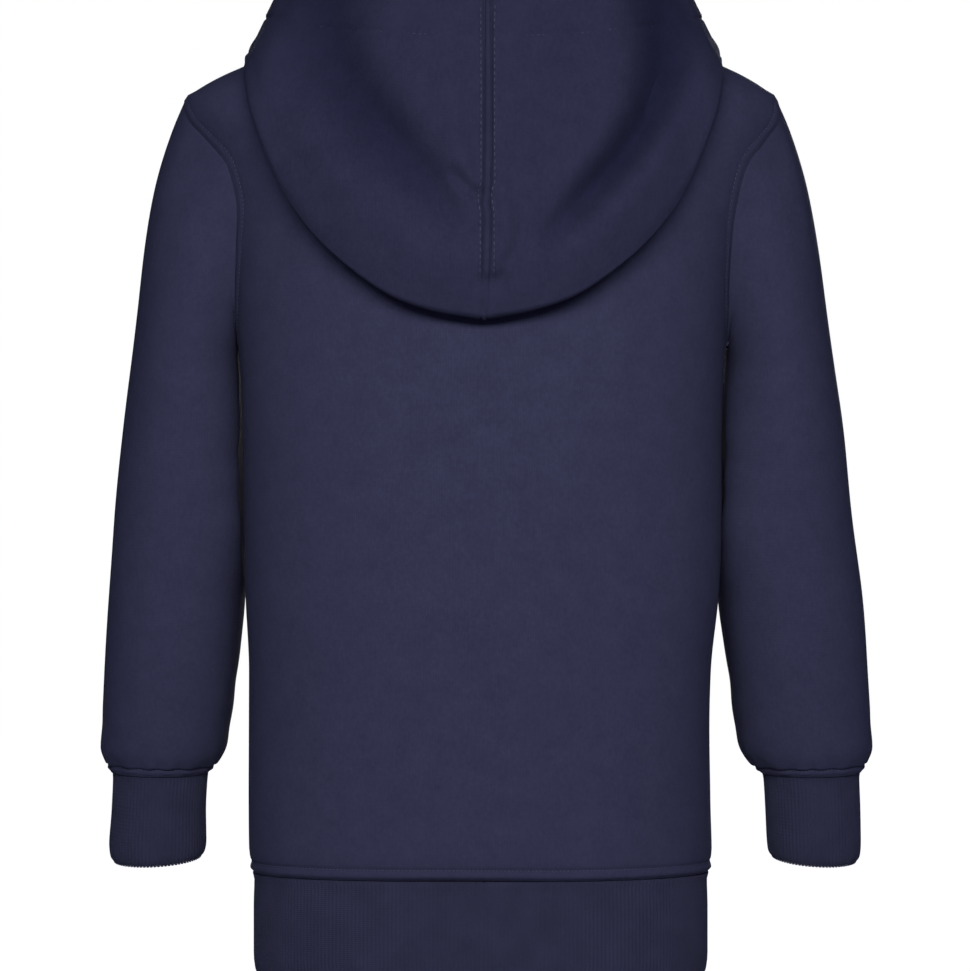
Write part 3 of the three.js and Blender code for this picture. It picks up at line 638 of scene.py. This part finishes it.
# Creases of the sleeves: height, turn about the sleeve, half height, half turn, slant, depth. A slant of 1
# rises by SLANT_RISE in a full turn.
SLANT_RISE = 200
SLEEVE_CREASES = (
    (-262, 0.42, 9, 0.16, 0.5, -1.5),
    (-290, 0.36, 10, 0.17, 0.35, -1.7),
    (-305, 0.72, 8, 0.15, -0.4, -1.2),
    (-318, 0.55, 9, 0.13, 0.2, -1.0),
    (-228, 0.62, 9, 0.14, -0.6, -1.3),
    (-345, 0.45, 12, 0.16, 0.3, -0.9),
    (-398, 0.60, 10, 0.2, 0.1, -0.8),
    (-421, 0.35, 9, 0.2, -0.2, -0.9),
    (-430, 0.85, 8, 0.2, 0.15, -0.7),
)


def sleeve_relief(sign):
    def relief(u, v, p, lu, lv):
        total = drift(p, 0.8)
        for height, turn, tall, wide, slant, depth in SLEEVE_CREASES:
            du = np.mod(u - turn + 0.5, 1) - 0.5
            dz = p[..., 2] - height - slant * du * SLANT_RISE
            total = total + depth * np.exp(-((dz / tall) ** 2) - (du / wide) ** 2)
        to_end = (1 - v) * lv
        total = total + 0.75 * plateau(to_end, 4.0, 0.35) - 0.9 * hump(to_end, 5.2, 1.0)
        waves = np.sin(2 * np.pi * (15 * u + 0.15 * np.sin(2 * np.pi * 4 * u)))
        gathers = 0.5 * waves * np.exp(-((to_end - 7) / 7) ** 2)
        return total + gathers * (to_end > 2) - 0.1 * hump(v * lv, 0, 1.5)

    return relief


def hood_relief(sign):
    def relief(u, v, p, lu, lv):
        d = np.where(u < 0.2, np.abs(p[..., 0] - seam_line(p[..., 2], v)), 99)
        full = smooth_step(-166, -156, p[..., 2])
        ridge = 0.7 * plateau(d, 1.2, 0.2) - 1.4 * hump(d, 1.95, 0.55)
        twin = 0.4 * hump(d, HOOD_STITCH, 0.9) + 0.3 * plateau(d, 5.0, 0.4)
        total = drift(p, 0.5) + np.where(v > 0.6, ridge * (0.35 + 0.65 * full) + twin * full, ridge * 0.5)
        edge = place_edge(sign, u, p)
        return total - 0.8 * hump(edge, CASING_STITCH, 1.0) + 0.4 * plateau(edge, 25.3, 0.5)

    return relief


def place_edge(sign, u, p):
    """Distance of points from the hood's edge."""
    end = hood_place(sign)(u, np.ones_like(u))
    return np.linalg.norm(p - end, axis=-1)


def ribs(count, height=0.24):
    """Ribs of a knit, evenly round the piece."""
    return lambda u, v, p, lu, lv: height * np.cos(2 * np.pi * count * u)


# ---- meshes ----

STEP = 5e-4


def skin(place, relief, u, v, side, closed):
    """Points of the finished surface and its outward directions."""
    low_u, high_u = (u - STEP, u + STEP) if closed else (np.maximum(u - STEP, 0), np.minimum(u + STEP, 1))
    low_v, high_v = np.maximum(v - STEP, 0), np.minimum(v + STEP, 1)
    p = place(u, v)
    du = (place(high_u, v) - place(low_u, v)) / (high_u - low_u)[..., None]
    dv = (place(u, high_v) - place(u, low_v)) / (high_v - low_v)[..., None]
    out = unit(np.cross(du, dv)) * side
    if relief:
        p = p + out * relief(u, v, p, np.linalg.norm(du, axis=-1), np.linalg.norm(dv, axis=-1))[..., None]
    return p, out


def stations(*spans):
    """Grid lines from spans of start, end and number of steps."""
    lines = [np.linspace(a, b, n, endpoint=False) for a, b, n in spans]
    return np.concatenate(lines + [[spans[-1][1]]])


def mesh_object(bm, name, materials):
    mesh = bpy.data.meshes.new(name)
    bm.to_mesh(mesh)
    bm.free()
    for material in materials:
        mesh.materials.append(material)
    made = bpy.data.objects.new(name, mesh)
    bpy.context.scene.collection.objects.link(made)
    return made


def finished(bm, name, materials, replaces=None, rides="garment"):
    piece = mesh_object(bm, name, materials)
    piece.data.shade_smooth()
    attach(piece, rides)
    if replaces:
        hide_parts(replaces)
    return piece


def modifier(piece, kind, **settings):
    made = piece.modifiers.new(kind.lower(), kind)
    for key, value in settings.items():
        setattr(made, key, value)
    return made


def cloth(
    name, node, us, vs, place, relief, cut,
    side=1, wall=FLEECE, rim=0.5, closed=False, material=None, thick=None, meet=None,
):
    """A cloth piece: a grid whose points are moved to its surface, given its wall and rounded rims.

    thick gives the wall where it varies, and meet is a hood's line in X that its first column is moved onto; a
    piece with meet also gets painted shade in the hood's big folds.
    """
    bm = bmesh.new()
    columns, rows = len(us) - 1, len(vs) - 1
    bmesh.ops.create_grid(bm, x_segments=columns, y_segments=rows, size=0.5)
    grid = np.array([v.co[:2] for v in bm.verts]) + 0.5
    row = np.rint(grid[:, 1] * rows).astype(int)
    u, v = us[np.rint(grid[:, 0] * columns).astype(int)], vs[row]
    points, _ = skin(place, relief, u, v, side, closed)
    if meet:
        start = np.flatnonzero(u == us[0])
        first = np.empty(rows + 1, int)
        first[row[start]] = start
        edge = points[first[row]]
        points[:, 0] += (meet(edge[:, 2], v) - edge[:, 0]) * (1 - smooth_step(0, 0.012, u))
    flat = bm.loops.layers.uv.new("cut")
    for vert, point in zip(bm.verts, points * MM):
        vert.co = point
    bm.verts.index_update()
    for face in bm.faces:
        for loop in face.loops:
            i = loop.vert.index
            loop[flat].uv = (u[i] * cut[0] * MM, v[i] * cut[1] * MM)
    if side < 0:
        bmesh.ops.reverse_faces(bm, faces=bm.faces)
    if thick:
        weights = bm.verts.layers.deform.verify()
        for vert, value in zip(bm.verts, thick(u, v, points) / wall):
            vert[weights][0] = float(min(1, value))
    # Painted shade in the hood's two big folds, kept on the points for the material to darken the colour by.
    if meet:
        shade = bm.verts.layers.float.new("painted_fold_shade")
        for vert, value in zip(bm.verts, painted_fold_shade(points)):
            vert[shade] = float(value)
    if closed:
        bmesh.ops.remove_doubles(bm, verts=bm.verts, dist=1e-6)
    piece = finished(bm, name, [material], node)
    shell = modifier(piece, "SOLIDIFY", thickness=wall * MM, offset=-1)
    if thick:
        piece.vertex_groups.new(name="wall")
        shell.vertex_group = "wall"
    if rim:
        bevel = modifier(piece, "BEVEL", width=rim * MM, segments=2, profile=0.5)
        bevel.limit_method = "ANGLE"
        bevel.angle_limit = math.radians(70)
    return piece


def placed(at, axes):
    """A place from its middle and its three axes in millimetres, whose lengths scale what is put there."""
    made = Matrix.Identity(4)
    for k, axis in enumerate((*axes, at)):
        for i in range(3):
            made[i][k] = axis[i] * MM
    return made


def spaced(points, outward, pitch):
    """Points and directions at even steps along a line, and the direction it runs in."""
    run = np.concatenate([[0], np.cumsum(np.linalg.norm(np.diff(points, axis=0), axis=1))])

    def read(at, rows):
        return np.stack([np.interp(at, run, rows[:, k]) for k in range(3)], -1)

    at = np.arange(pitch / 2, run[-1], pitch)
    out = unit(read(at, outward))
    along = unit(read(at + 0.3, points) - read(at - 0.3, points))
    return read(at, points), unit(out - along * np.sum(out * along, -1)[:, None]), along


def stitches(name, lines, pitch, size, lift=0.12):
    """Rows of small raised stitches along lines on the cloth: each is a stretched bead of six sides."""
    bm = bmesh.new()
    for points, outward in lines:
        for p, out, along in zip(*spaced(points, outward, pitch)):
            axes = [axis * long / 2 for axis, long in zip((along, np.cross(out, along), out), size)]
            place = placed(p + out * lift, axes)
            bmesh.ops.create_uvsphere(bm, u_segments=6, v_segments=4, radius=1, matrix=place)
    return finished(bm, name, [thread_finish])


def row_on(place, relief, u, v, side=1, closed=False):
    """A line on a finished surface, from arrays of its two coordinates."""
    u, v = np.broadcast_arrays(np.asarray(u, float), np.asarray(v, float))
    return skin(place, relief, u.copy(), v.copy(), side, closed)


# ---- materials ----


def colour(hexed):
    """An sRGB hex value as a linear colour."""
    parts = [int(hexed[i : i + 2], 16) / 255 for i in (0, 2, 4)]
    return [c / 12.92 if c <= 0.04045 else ((c + 0.055) / 1.055) ** 2.4 for c in parts] + [1]


def add(tree, kind, settings=None, inputs=None):
    """Adds a node with its settings; an input is a value, or a socket that is linked to it."""
    made = tree.nodes.new(kind)
    for key, value in (settings or {}).items():
        setattr(made, key, value)
    for key, value in (inputs or {}).items():
        if isinstance(value, bpy.types.NodeSocket):
            tree.links.new(value, made.inputs[key])
        else:
            made.inputs[key].default_value = value
    return made


def blank(name, **constants):
    """A material with a Principled shader whose constants are set on its own sockets."""
    made = bpy.data.materials.new(name)
    made.use_nodes = True
    shader = made.node_tree.nodes["Principled BSDF"]
    for key, value in constants.items():
        shader.inputs[key.replace("_", " ")].default_value = value
    return made, made.node_tree, shader


def own_place(tree):
    return add(tree, "ShaderNodeTexCoord").outputs["Object"]


def cut_place(tree):
    """Place on the flat cut piece, in metres."""
    return add(tree, "ShaderNodeUVMap", {"uv_map": "cut"}).outputs["UV"]


def noise(tree, place, scale, detail, roughness=0.5):
    inputs = {"Vector": place, "Scale": scale, "Detail": detail, "Roughness": roughness}
    return add(tree, "ShaderNodeTexNoise", None, inputs).outputs["Fac"]


def bands(tree, place, direction, pitch, distortion, detail=2, detail_scale=1):
    """Bands of a knit or a weave, one to each pitch in metres, or 1.4 pitches apart on the diagonal."""
    settings = {"wave_type": "BANDS", "bands_direction": direction}
    inputs = {"Vector": place, "Scale": 2 * math.pi / (20 * pitch), "Distortion": distortion}
    inputs |= {"Detail": detail, "Detail Scale": detail_scale}
    return add(tree, "ShaderNodeTexWave", settings, inputs).outputs["Fac"]


def blend(tree, share, a, b):
    return add(tree, "ShaderNodeMix", {"data_type": "FLOAT"}, {0: share, 2: a, 3: b}).outputs[0]


def combined(tree, operation, a, b):
    return add(tree, "ShaderNodeMath", {"operation": operation}, {0: a, 1: b}).outputs[0]


def tones(tree, grey, low, high, ends=(0, 1)):
    """A colour between two, from a grey value."""
    ramp = add(tree, "ShaderNodeValToRGB", None, {"Fac": grey})
    for element, end, hexed in zip(ramp.color_ramp.elements, ends, (low, high)):
        element.position = end
        element.color = colour(hexed)
    return ramp.outputs["Color"]


def bumpy(tree, shader, height, strength, depth):
    bump = add(tree, "ShaderNodeBump", None, {"Strength": strength, "Distance": depth, "Height": height})
    tree.links.new(bump.outputs["Normal"], shader.inputs["Normal"])


HAZE = colour("5c6078")
# The colour that the painted shade in the hood's folds multiplies the fleece by.
PAINTED_SHADE_TINT = (0.44, 0.46, 0.6, 1)


def sweat_fleece(name, low, high):
    """Cotton-rich sweatshirt fleece, dyed navy: a close plain knit outside, matt with a short soft haze."""
    made, tree, shader = blank(
        name, Roughness=0.95, Specular_IOR_Level=0.1, Sheen_Weight=0.05, Sheen_Roughness=0.6, Sheen_Tint=HAZE,
    )
    place, cut = own_place(tree), cut_place(tree)
    # Blotches of about 13 mm, where the yarn takes the dye unevenly, and short streaks along the wales.
    blotch = noise(tree, place, 75, 3, 0.6)
    stretch = add(tree, "ShaderNodeMapping", None, {"Vector": cut, "Scale": (900, 190, 1)})
    streak = noise(tree, stretch.outputs["Vector"], 1, 2)
    grain = noise(tree, place, 430, 3)
    mottle = blend(tree, 0.4, blend(tree, 0.4, blotch, streak), grain)
    tone = tones(tree, mottle, low, high, (0.34, 0.66))
    # Painted shade: the colour is darkened in the hood's two big folds; elsewhere the attribute is missing or
    # 0.
    fold = add(tree, "ShaderNodeAttribute", {"attribute_name": "painted_fold_shade"})
    multiply = {"data_type": "RGBA", "blend_type": "MULTIPLY"}
    shaded = add(tree, "ShaderNodeMix", multiply, {0: fold.outputs["Fac"], 6: tone, 7: PAINTED_SHADE_TINT})
    tree.links.new(shaded.outputs[2], shader.inputs["Base Color"])
    # Wales every 1.3 mm and courses every 1.1 mm, coarser than a usual fleece's so that they show.
    wale = bands(tree, cut, "X", 0.0013, 0.6, 1, 90)
    course = bands(tree, cut, "Y", 0.0011, 0.8, 1, 90)
    fuzz = combined(tree, "ADD", combined(tree, "MULTIPLY", wale, course), grain)
    bumpy(tree, shader, fuzz, 0.3, 0.0002)
    return made


def rib_knit():
    """Doubled cotton rib with a little elastane, navy: the ribs are in the mesh, the yarn a fine grain."""
    made, tree, shader = blank(
        "cotton_rib_navy", Roughness=0.94, Specular_IOR_Level=0.22, Sheen_Weight=0.1, Sheen_Roughness=0.55,
        Sheen_Tint=HAZE,
    )
    place = own_place(tree)
    grain = noise(tree, place, 900, 2)
    mottle = blend(tree, 0.35, noise(tree, place, 60, 3), grain)
    tone = tones(tree, mottle, RIB_LOW, RIB_HIGH, (0.3, 0.7))
    tree.links.new(tone, shader.inputs["Base Color"])
    # Courses of the rib, drawn every 1.2 mm.
    course = bands(tree, cut_place(tree), "Y", 0.0012, 1.5, 1, 120)
    bumpy(tree, shader, combined(tree, "ADD", course, grain), 0.5, 0.0002)
    return made


def sewing_thread():
    """Spun polyester thread, navy: a twisted yarn with a faint gloss, a shade lighter than the cloth."""
    made, tree, shader = blank("polyester_thread_navy", Roughness=0.6)
    tone = tones(tree, noise(tree, own_place(tree), 1500, 1), "2b2c42", "3b3d56", (0.35, 0.65))
    tree.links.new(tone, shader.inputs["Base Color"])
    return made


def zip_tape():
    """Woven polyester zip tape, dark navy: a smooth diagonal weave about 1.5 mm wide, with a slight gloss."""
    made, tree, shader = blank("woven_polyester_tape", Roughness=0.7)
    weave = bands(tree, cut_place(tree), "DIAGONAL", 0.0011, 0.5)
    tree.links.new(tones(tree, weave, "1b1c2c", "2a2c40"), shader.inputs["Base Color"])
    bumpy(tree, shader, weave, 0.4, 0.0001)
    return made


def moulded_resin():
    """Moulded acetal zip teeth, dark navy: smooth with a soft gloss and slight clouding from the mould."""
    made, tree, shader = blank("moulded_resin_navy", Roughness=0.38, IOR=1.48)
    tone = tones(tree, noise(tree, own_place(tree), 400, 2), "191a29", "26283a")
    tree.links.new(tone, shader.inputs["Base Color"])
    return made


def satin_metal():
    """Die-cast zinc alloy, satin-plated: a grey metal with fine tumbling marks that blur its reflections."""
    made, tree, shader = blank("satin_zinc_alloy", Metallic=1.0, Base_Color=colour("8f9196"))
    marks = noise(tree, own_place(tree), 1800, 3)
    rough = add(tree, "ShaderNodeMapRange", None, {"Value": marks, "To Min": 0.26, "To Max": 0.46})
    tree.links.new(rough.outputs["Result"], shader.inputs["Roughness"])
    bumpy(tree, shader, marks, 0.15, 0.00005)
    return made


NAVY_LOW, NAVY_HIGH = "2b2c42", "33344b"
# The hood and the rib are drawn a shade darker than the body.
HOOD_LOW, HOOD_HIGH = "232439", "2b2c42"
RIB_LOW, RIB_HIGH = "24253a", "2c2d44"

fleece_finish = sweat_fleece("cotton_fleece_navy", NAVY_LOW, NAVY_HIGH)
hood_finish = sweat_fleece("cotton_fleece_navy_hood", HOOD_LOW, HOOD_HIGH)
rib_finish = rib_knit()
thread_finish = sewing_thread()
tape_finish = zip_tape()
resin_finish = moulded_resin()
metal_finish = satin_metal()

# ---- body ----

panel_rows = stations((0, 0.02, 14), (0.02, 0.9, 125), (0.9, 1, 16))
back = cloth(
    "back_panel_cloth", "back_panel",
    stations((0, 0.026, 9), (0.026, 0.974, 112), (0.974, 1, 9)), panel_rows,
    back_place, body_relief, (430, 520), material=fleece_finish,
)
for sign, word in SIDES:
    cloth(
        "front_" + word + "_cloth", "front_" + word,
        stations((0, 0.05, 9), (0.05, 0.93, 56), (0.93, 1, 12)), panel_rows,
        front_place(sign), front_relief, (230, 500),
        side=-sign, material=fleece_finish,
    )
hem_band = cloth(
    "hem_band_rib", "hem_band",
    np.linspace(0, 1, RIB_COLUMNS * BAND_RIBS + 1), stations((0, 0.09, 4), (0.09, 1, 14)),
    band_place, ribs(BAND_RIBS), (760, 62), wall=RIB, rim=0.9, material=rib_finish,
)

# ---- sleeves ----

sleeves, cuffs = {}, {}
for sign, word in SIDES:
    sleeves[sign] = cloth(
        "sleeve_" + word + "_cloth", "sleeve_" + word,
        np.linspace(0, 1, 97), stations((0, 0.09, 12), (0.09, 0.84, 96), (0.84, 1, 26)),
        sleeve_place(sign), sleeve_relief(sign), (330, 400),
        side=-sign, closed=True, material=fleece_finish,
    )
    cuffs[sign] = cloth(
        "cuff_" + word + "_rib", "cuff_" + word,
        np.linspace(0, 1, RIB_COLUMNS * CUFF_RIBS + 1), stations((0, 0.2, 4), (0.2, 0.8, 12), (0.8, 1, 6)),
        cuff_place(sign), ribs(CUFF_RIBS), (185, 60),
        side=-sign, wall=RIB, rim=0.9, closed=True, material=rib_finish,
    )

# ---- hood ----


def hood_thick(sign):
    """The doubled casing along the hood's edge, rounded over where the cloth turns back."""

    def thick(u, v, points):
        edge = place_edge(sign, u, points)
        casing = FLEECE + (CASING - FLEECE) * plateau(edge, FOLDED, 0.4)
        turn = np.clip(edge / 1.7, 0, 1)
        return casing * np.clip(np.sqrt(1 - (1 - turn) ** 2), 0.25, 1)

    return thick


for sign, word in SIDES:
    cloth(
        "hood_" + word + "_cloth", "hood_" + word,
        stations((0, 0.016, 15), (0.016, 0.05, 9), (0.05, 1, 92)),
        stations((0, 0.52, 24), (0.52, 0.74, 36), (0.74, 0.985, 76), (0.985, 1, 8)),
        hood_place(sign), hood_relief(sign), (330, 420),
        side=-sign, wall=CASING, rim=0.2, material=hood_finish, thick=hood_thick(sign),
        meet=lambda z, v, sign=sign: seam_line(z, v) + sign * HOOD_GAP,
    )

# ---- zip ----


def zip_face(x, z, inset):
    """Points inset from the face of the cloth across the centre front, and the way that it faces there."""
    x, z = np.broadcast_arrays(np.asarray(x, float), np.asarray(z, float))
    made = []
    for read in (body, band):
        p = section(read, -corner_angle(read, z, np.abs(x)), z)
        lean = read(z, "lean")
        p[..., 0] = x + lean
        facing = gradient(read, np.stack([lean + 0 * x, p[..., 1], z], -1))
        facing[..., 0] = 0
        if read is band:
            facing[..., 2] = 0
        made.append((p, unit(facing)))
    low = (z < HEM)[..., None]
    p, facing = np.where(low, made[1][0], made[0][0]), np.where(low, made[1][1], made[0][1])
    deeper = (RIB - FLEECE) * smooth_step(-490, -500, z)
    return p - facing * (inset + deeper)[..., None], facing


def tape_place(x0, x1):
    return lambda u, v: zip_face(x0 + (x1 - x0) * u, ZIP_LOW + (ZIP_TOP - ZIP_LOW) * v, 2.9)[0]


for word, x0, x1 in (("left", TAPE_IN, TAPE_OUT), ("right", -TAPE_OUT, -TAPE_IN)):
    cloth(
        "zip_tape_" + word + "_weave", "zip_tape_" + word,
        np.linspace(0, 1, 9), np.linspace(0, 1, 201),
        tape_place(x0, x1), None, (14.7, 512), wall=0.8, rim=0, material=tape_finish,
    )


def bevelled(bm, edges, width, steps):
    settings = {"offset": width * MM, "segments": steps, "profile": 0.5, "affect": "EDGES", "material": -1}
    bmesh.ops.bevel(bm, geom=edges, **settings)


def zip_teeth():
    """Two rows of moulded teeth that mesh along the middle, from the bottom stop to the top."""
    bm = bmesh.new()
    pitch, wide, tall, thick = 2.9, 3.1, 1.28, 1.4
    for side in (1, -1):
        heights = np.arange(ZIP_LOW + 1 + (pitch / 2 if side < 0 else 0), ZIP_TOP - 1, pitch)
        centres, facing = zip_face(side * 1.1 + 0 * heights, heights, 1.65)
        for p, out in zip(centres, facing):
            up = np.cross(out, [1, 0, 0])
            up = up if up[2] > 0 else -up
            place = placed(p, (np.array([wide, 0, 0]), out * thick, up * tall))
            bmesh.ops.create_cube(bm, size=1, matrix=place)
    bevelled(bm, bm.edges[:], 0.28, 1)
    bmesh.ops.recalc_face_normals(bm, faces=bm.faces)
    finished(bm, "zip_chain_teeth", [resin_finish], "zip_chain")


def slider_place():
    """The slider's own place: X across, Y out of the cloth and Z up along it."""
    z = -76.0
    at = np.array([float(body(z, "lean")), float(body(z, "front")), z])
    out = unit(gradient(body, at))
    across = np.array([-1.0, 0, 0])
    return placed(at, (across, out, unit(np.cross(across, out))))


def flat_shape(bm, outer, inner, near, thickness, place):
    """A flat outline in X and Z, with a hole if there is an inner one, thickened along Y and put in place."""
    before = set(bm.verts)
    loops = []
    for outline in (outer, inner) if inner else (outer,):
        verts = [bm.verts.new((x, near, z)) for x, z in outline]
        loops.append((verts, [bm.edges.new((a, b)) for a, b in zip(verts, verts[1:] + verts[:1])]))
    if inner:
        faces = bmesh.ops.bridge_loops(bm, edges=loops[0][1] + loops[1][1])["faces"]
    else:
        faces = [bm.faces.new(loops[0][0])]
    moved = bmesh.ops.extrude_face_region(bm, geom=faces)
    face_verts = [g for g in moved["geom"] if isinstance(g, bmesh.types.BMVert)]
    bmesh.ops.translate(bm, vec=(0, thickness, 0), verts=face_verts)
    bmesh.ops.transform(bm, matrix=place, verts=[v for v in bm.verts if v not in before])


def rounded(bm, width):
    bmesh.ops.remove_doubles(bm, verts=bm.verts, dist=1e-7)
    bmesh.ops.recalc_face_normals(bm, faces=bm.faces)
    bevelled(bm, [e for e in bm.edges if len(e.link_faces) == 2 and e.calc_face_angle(0) > 0.5], width, 2)


def zip_slider():
    place = slider_place()
    bm = bmesh.new()
    face = [(-4.4, 2.9), (-2.64, 5.5), (2.64, 5.5), (4.4, 2.9), (3.2, -5.5), (-3.2, -5.5)]
    flat_shape(bm, face, None, 0.3, 1.6, place)
    turned = place @ Matrix.Translation((1.2, 0, 0)) @ Matrix.Rotation(math.radians(90), 4, "Z")
    arch = [(1.8, -4), (5.3, -3.4), (5.3, 3.4), (1.8, 4), (1.8, 2.8), (4.0, 2.7), (4.0, -2.7), (1.8, -2.8)]
    flat_shape(bm, arch, None, 0, 2.4, turned)
    rounded(bm, 0.3)
    finished(bm, "zip_slider_metal", [metal_finish], "zip_slider")


def pull_tab():
    place = slider_place() @ Matrix.Translation((0, 2.95, -1.7))
    bm = bmesh.new()
    outer = [
        (-2.7, 0.7), (2.7, 0.7), (2.7, -7.4), (3.4, -10.4), (3.4, -25),
        (1.4, -27), (-1.4, -27), (-3.4, -25), (-3.4, -10.4), (-2.7, -7.4),
    ]
    inner = [
        (-1.8, -0.7), (1.8, -0.7), (1.8, -5), (1.8, -6), (1.5, -7),
        (0.7, -7.4), (-0.7, -7.4), (-1.5, -7), (-1.8, -6), (-1.8, -5),
    ]
    flat_shape(bm, outer, inner, -0.7, 1.4, place)
    rounded(bm, 0.3)
    finished(bm, "pull_tab_metal", [metal_finish], "pull_tab", "pull_tab")


zip_teeth()
zip_slider()
pull_tab()

# ---- stitches ----


def beside_armhole(place, relief, edge, far, sign, side):
    """A line on a body panel beside its armhole, from the underarm to the shoulder."""
    v = np.linspace(1 + UNDERARM / -HEM + 0.012, 1 + SHOULDER / -HEM - 0.004, 160)
    near, out = np.full(v.shape, float(edge)), np.full(v.shape, float(far))
    u = solve(near, out, lambda m: away(place(m, v), ARM_LINES[sign]) < ARM_STITCH)
    return row_on(place, relief, u, v, side)


def hem_row(place, relief, side):
    u = np.linspace(0.005, 0.995, 300)
    return row_on(place, relief, u, 0 * u + HEM_STITCH / -HEM, side)


def apart(a, b):
    return np.linalg.norm(a - b, axis=-1)


body_rows = [
    beside_armhole(back_place, body_relief, 0, 0.3, 1, 1),
    beside_armhole(back_place, body_relief, 1, 0.7, -1, 1),
]
hem_rows = [hem_row(back_place, body_relief, 1)]
zip_rows, cuff_rows, hood_rows, casing_rows = [], [], [], []
for sign, _ in SIDES:
    place = front_place(sign)
    body_rows.append(beside_armhole(place, front_relief, 0, 0.5, sign, -sign))
    hem_rows.append(hem_row(place, front_relief, -sign))
    v = np.linspace(0.004, 0.99, 400)
    u = solve(0 * v + 0.8, 0 * v + 1.0, lambda m: apart(place(m, v), place(0 * v + 1, v)) > ZIP_STITCH)
    zip_rows.append(row_on(place, front_relief, u, v, -sign))

    place = sleeve_place(sign)
    u = np.linspace(0, 1, 200)
    v = solve(0 * u + 0.9, 0 * u + 1.0, lambda m: apart(place(u, m), place(u, 0 * u + 1)) > CUFF_STITCH)
    cuff_rows.append(row_on(place, sleeve_relief(sign), u, v, -sign, True))

    place, relief = hood_place(sign), hood_relief(sign)
    v = np.linspace(0.745, 0.985, 240)
    u = solve(0 * v, 0 * v + 0.08, lambda m: apart(place(m, v), place(0 * v, v)) < HOOD_STITCH)
    hood_rows.append(row_on(place, relief, u, v, -sign))
    u = np.linspace(0.004, 0.8, 300)
    v = solve(0 * u + 0.86, 0 * u + 1.0, lambda m: place_edge(sign, u, place(u, m)) > CASING_STITCH)
    casing_rows.append(row_on(place, relief, u, v, -sign))
armhole_stitches = stitches("armhole_stitches", body_rows, 2.6, (1.8, 0.45, 0.4))
hem_stitches = stitches("hem_stitches", hem_rows, 2.3, (1.6, 0.45, 0.4))
zip_stitches = stitches("zip_stitches", zip_rows, 2.8, (2.0, 0.45, 0.4))
stitches("cuff_stitches", cuff_rows, 2.3, (1.6, 0.45, 0.4))
stitches("hood_stitches", hood_rows, 4.0, (2.6, 0.55, 0.5), lift=0.06)
stitches("casing_stitches", casing_rows, 3.4, (1.8, 0.4, 0.4), lift=0.02)

# ---- floor, light and camera ----


def studio_floor():
    """A plain pale floor, seen white away from the object; its glow is for the eye and lights nothing."""
    made, tree, shader = blank("matt_studio_floor", Roughness=0.9, Base_Color=colour("d8d8da"))
    far = add(tree, "ShaderNodeVectorMath", {"operation": "LENGTH"}, {0: own_place(tree)})
    fade = {"Value": far.outputs["Value"], "From Min": 0.45, "From Max": 1.05}
    glow = add(tree, "ShaderNodeMapRange", {"interpolation_type": "SMOOTHSTEP"}, fade)
    ray = add(tree, "ShaderNodeLightPath")
    seen = combined(tree, "MULTIPLY", glow.outputs["Result"], ray.outputs["Is Camera Ray"])
    shader.inputs["Emission Color"].default_value = (1, 1, 1, 1)
    tree.links.new(seen, shader.inputs["Emission Strength"])
    bm = bmesh.new()
    bmesh.ops.create_grid(bm, x_segments=8, y_segments=8, size=9, matrix=Matrix.Translation((0, 0, -0.9)))
    mesh_object(bm, "floor", [made])


def soft_light(name, at, wide, tall, power, spread, aim=(0, 0, -0.28)):
    """A softbox with a grid, so that its light fades away from where it aims."""
    lamp = bpy.data.lights.new(name, "AREA")
    lamp.shape = "ELLIPSE"
    lamp.size = wide
    lamp.size_y = tall
    lamp.energy = power
    lamp.spread = math.radians(spread)
    light = bpy.data.objects.new(name, lamp)
    light.location = at
    light.rotation_euler = (Vector(aim) - Vector(at)).to_track_quat("-Z", "Y").to_euler()
    light.visible_camera = False
    bpy.context.scene.collection.objects.link(light)


def studio_world(seen, given):
    """A white surround: what the camera sees of it, and the softer light that it gives."""
    world = bpy.data.worlds.new("studio")
    world.use_nodes = True
    tree = world.node_tree
    ray = add(tree, "ShaderNodeLightPath").outputs["Is Camera Ray"]
    strength = add(tree, "ShaderNodeMapRange", None, {"Value": ray, "To Min": given, "To Max": seen})
    back = tree.nodes["Background"]
    tint = add(tree, "ShaderNodeMix", {"data_type": "RGBA"}, {0: ray, 6: colour("93a6ff"), 7: (1, 1, 1, 1)})
    tree.links.new(tint.outputs[2], back.inputs["Color"])
    tree.links.new(strength.outputs["Result"], back.inputs["Strength"])
    bpy.context.scene.world = world


studio_floor()
studio_world(1.0, 0.09)
soft_light("back_key", (-0.02, 1.6, 0.36), 1.7, 0.4, 11.8, 105)
soft_light("front_key", (-0.1, -1.6, 0.15), 1.3, 0.5, 6.5, 90)
soft_light("left_fill", (2.1, -0.2, 0.25), 0.9, 0.9, 0.4, 120)
soft_light("right_fill", (-2.1, 0.2, 0.25), 0.9, 0.9, 0.4, 120)

lens = bpy.data.cameras.new("camera")
lens.sensor_fit = "HORIZONTAL"
lens.sensor_width = 36
lens.lens = 185.57
lens.clip_end = 60
camera = bpy.data.objects.new("camera", lens)
camera.location = (-0.0006, 3.0, -0.281)
camera.rotation_euler = (math.radians(90), 0, math.radians(180))
bpy.context.scene.collection.objects.link(camera)
bpy.context.scene.camera = camera
bpy.context.scene.view_settings.view_transform = "Standard"
bpy.context.scene.view_settings.look = "None"

# ---- a loop over both sides that does nothing ----

for sign in (1, -1):
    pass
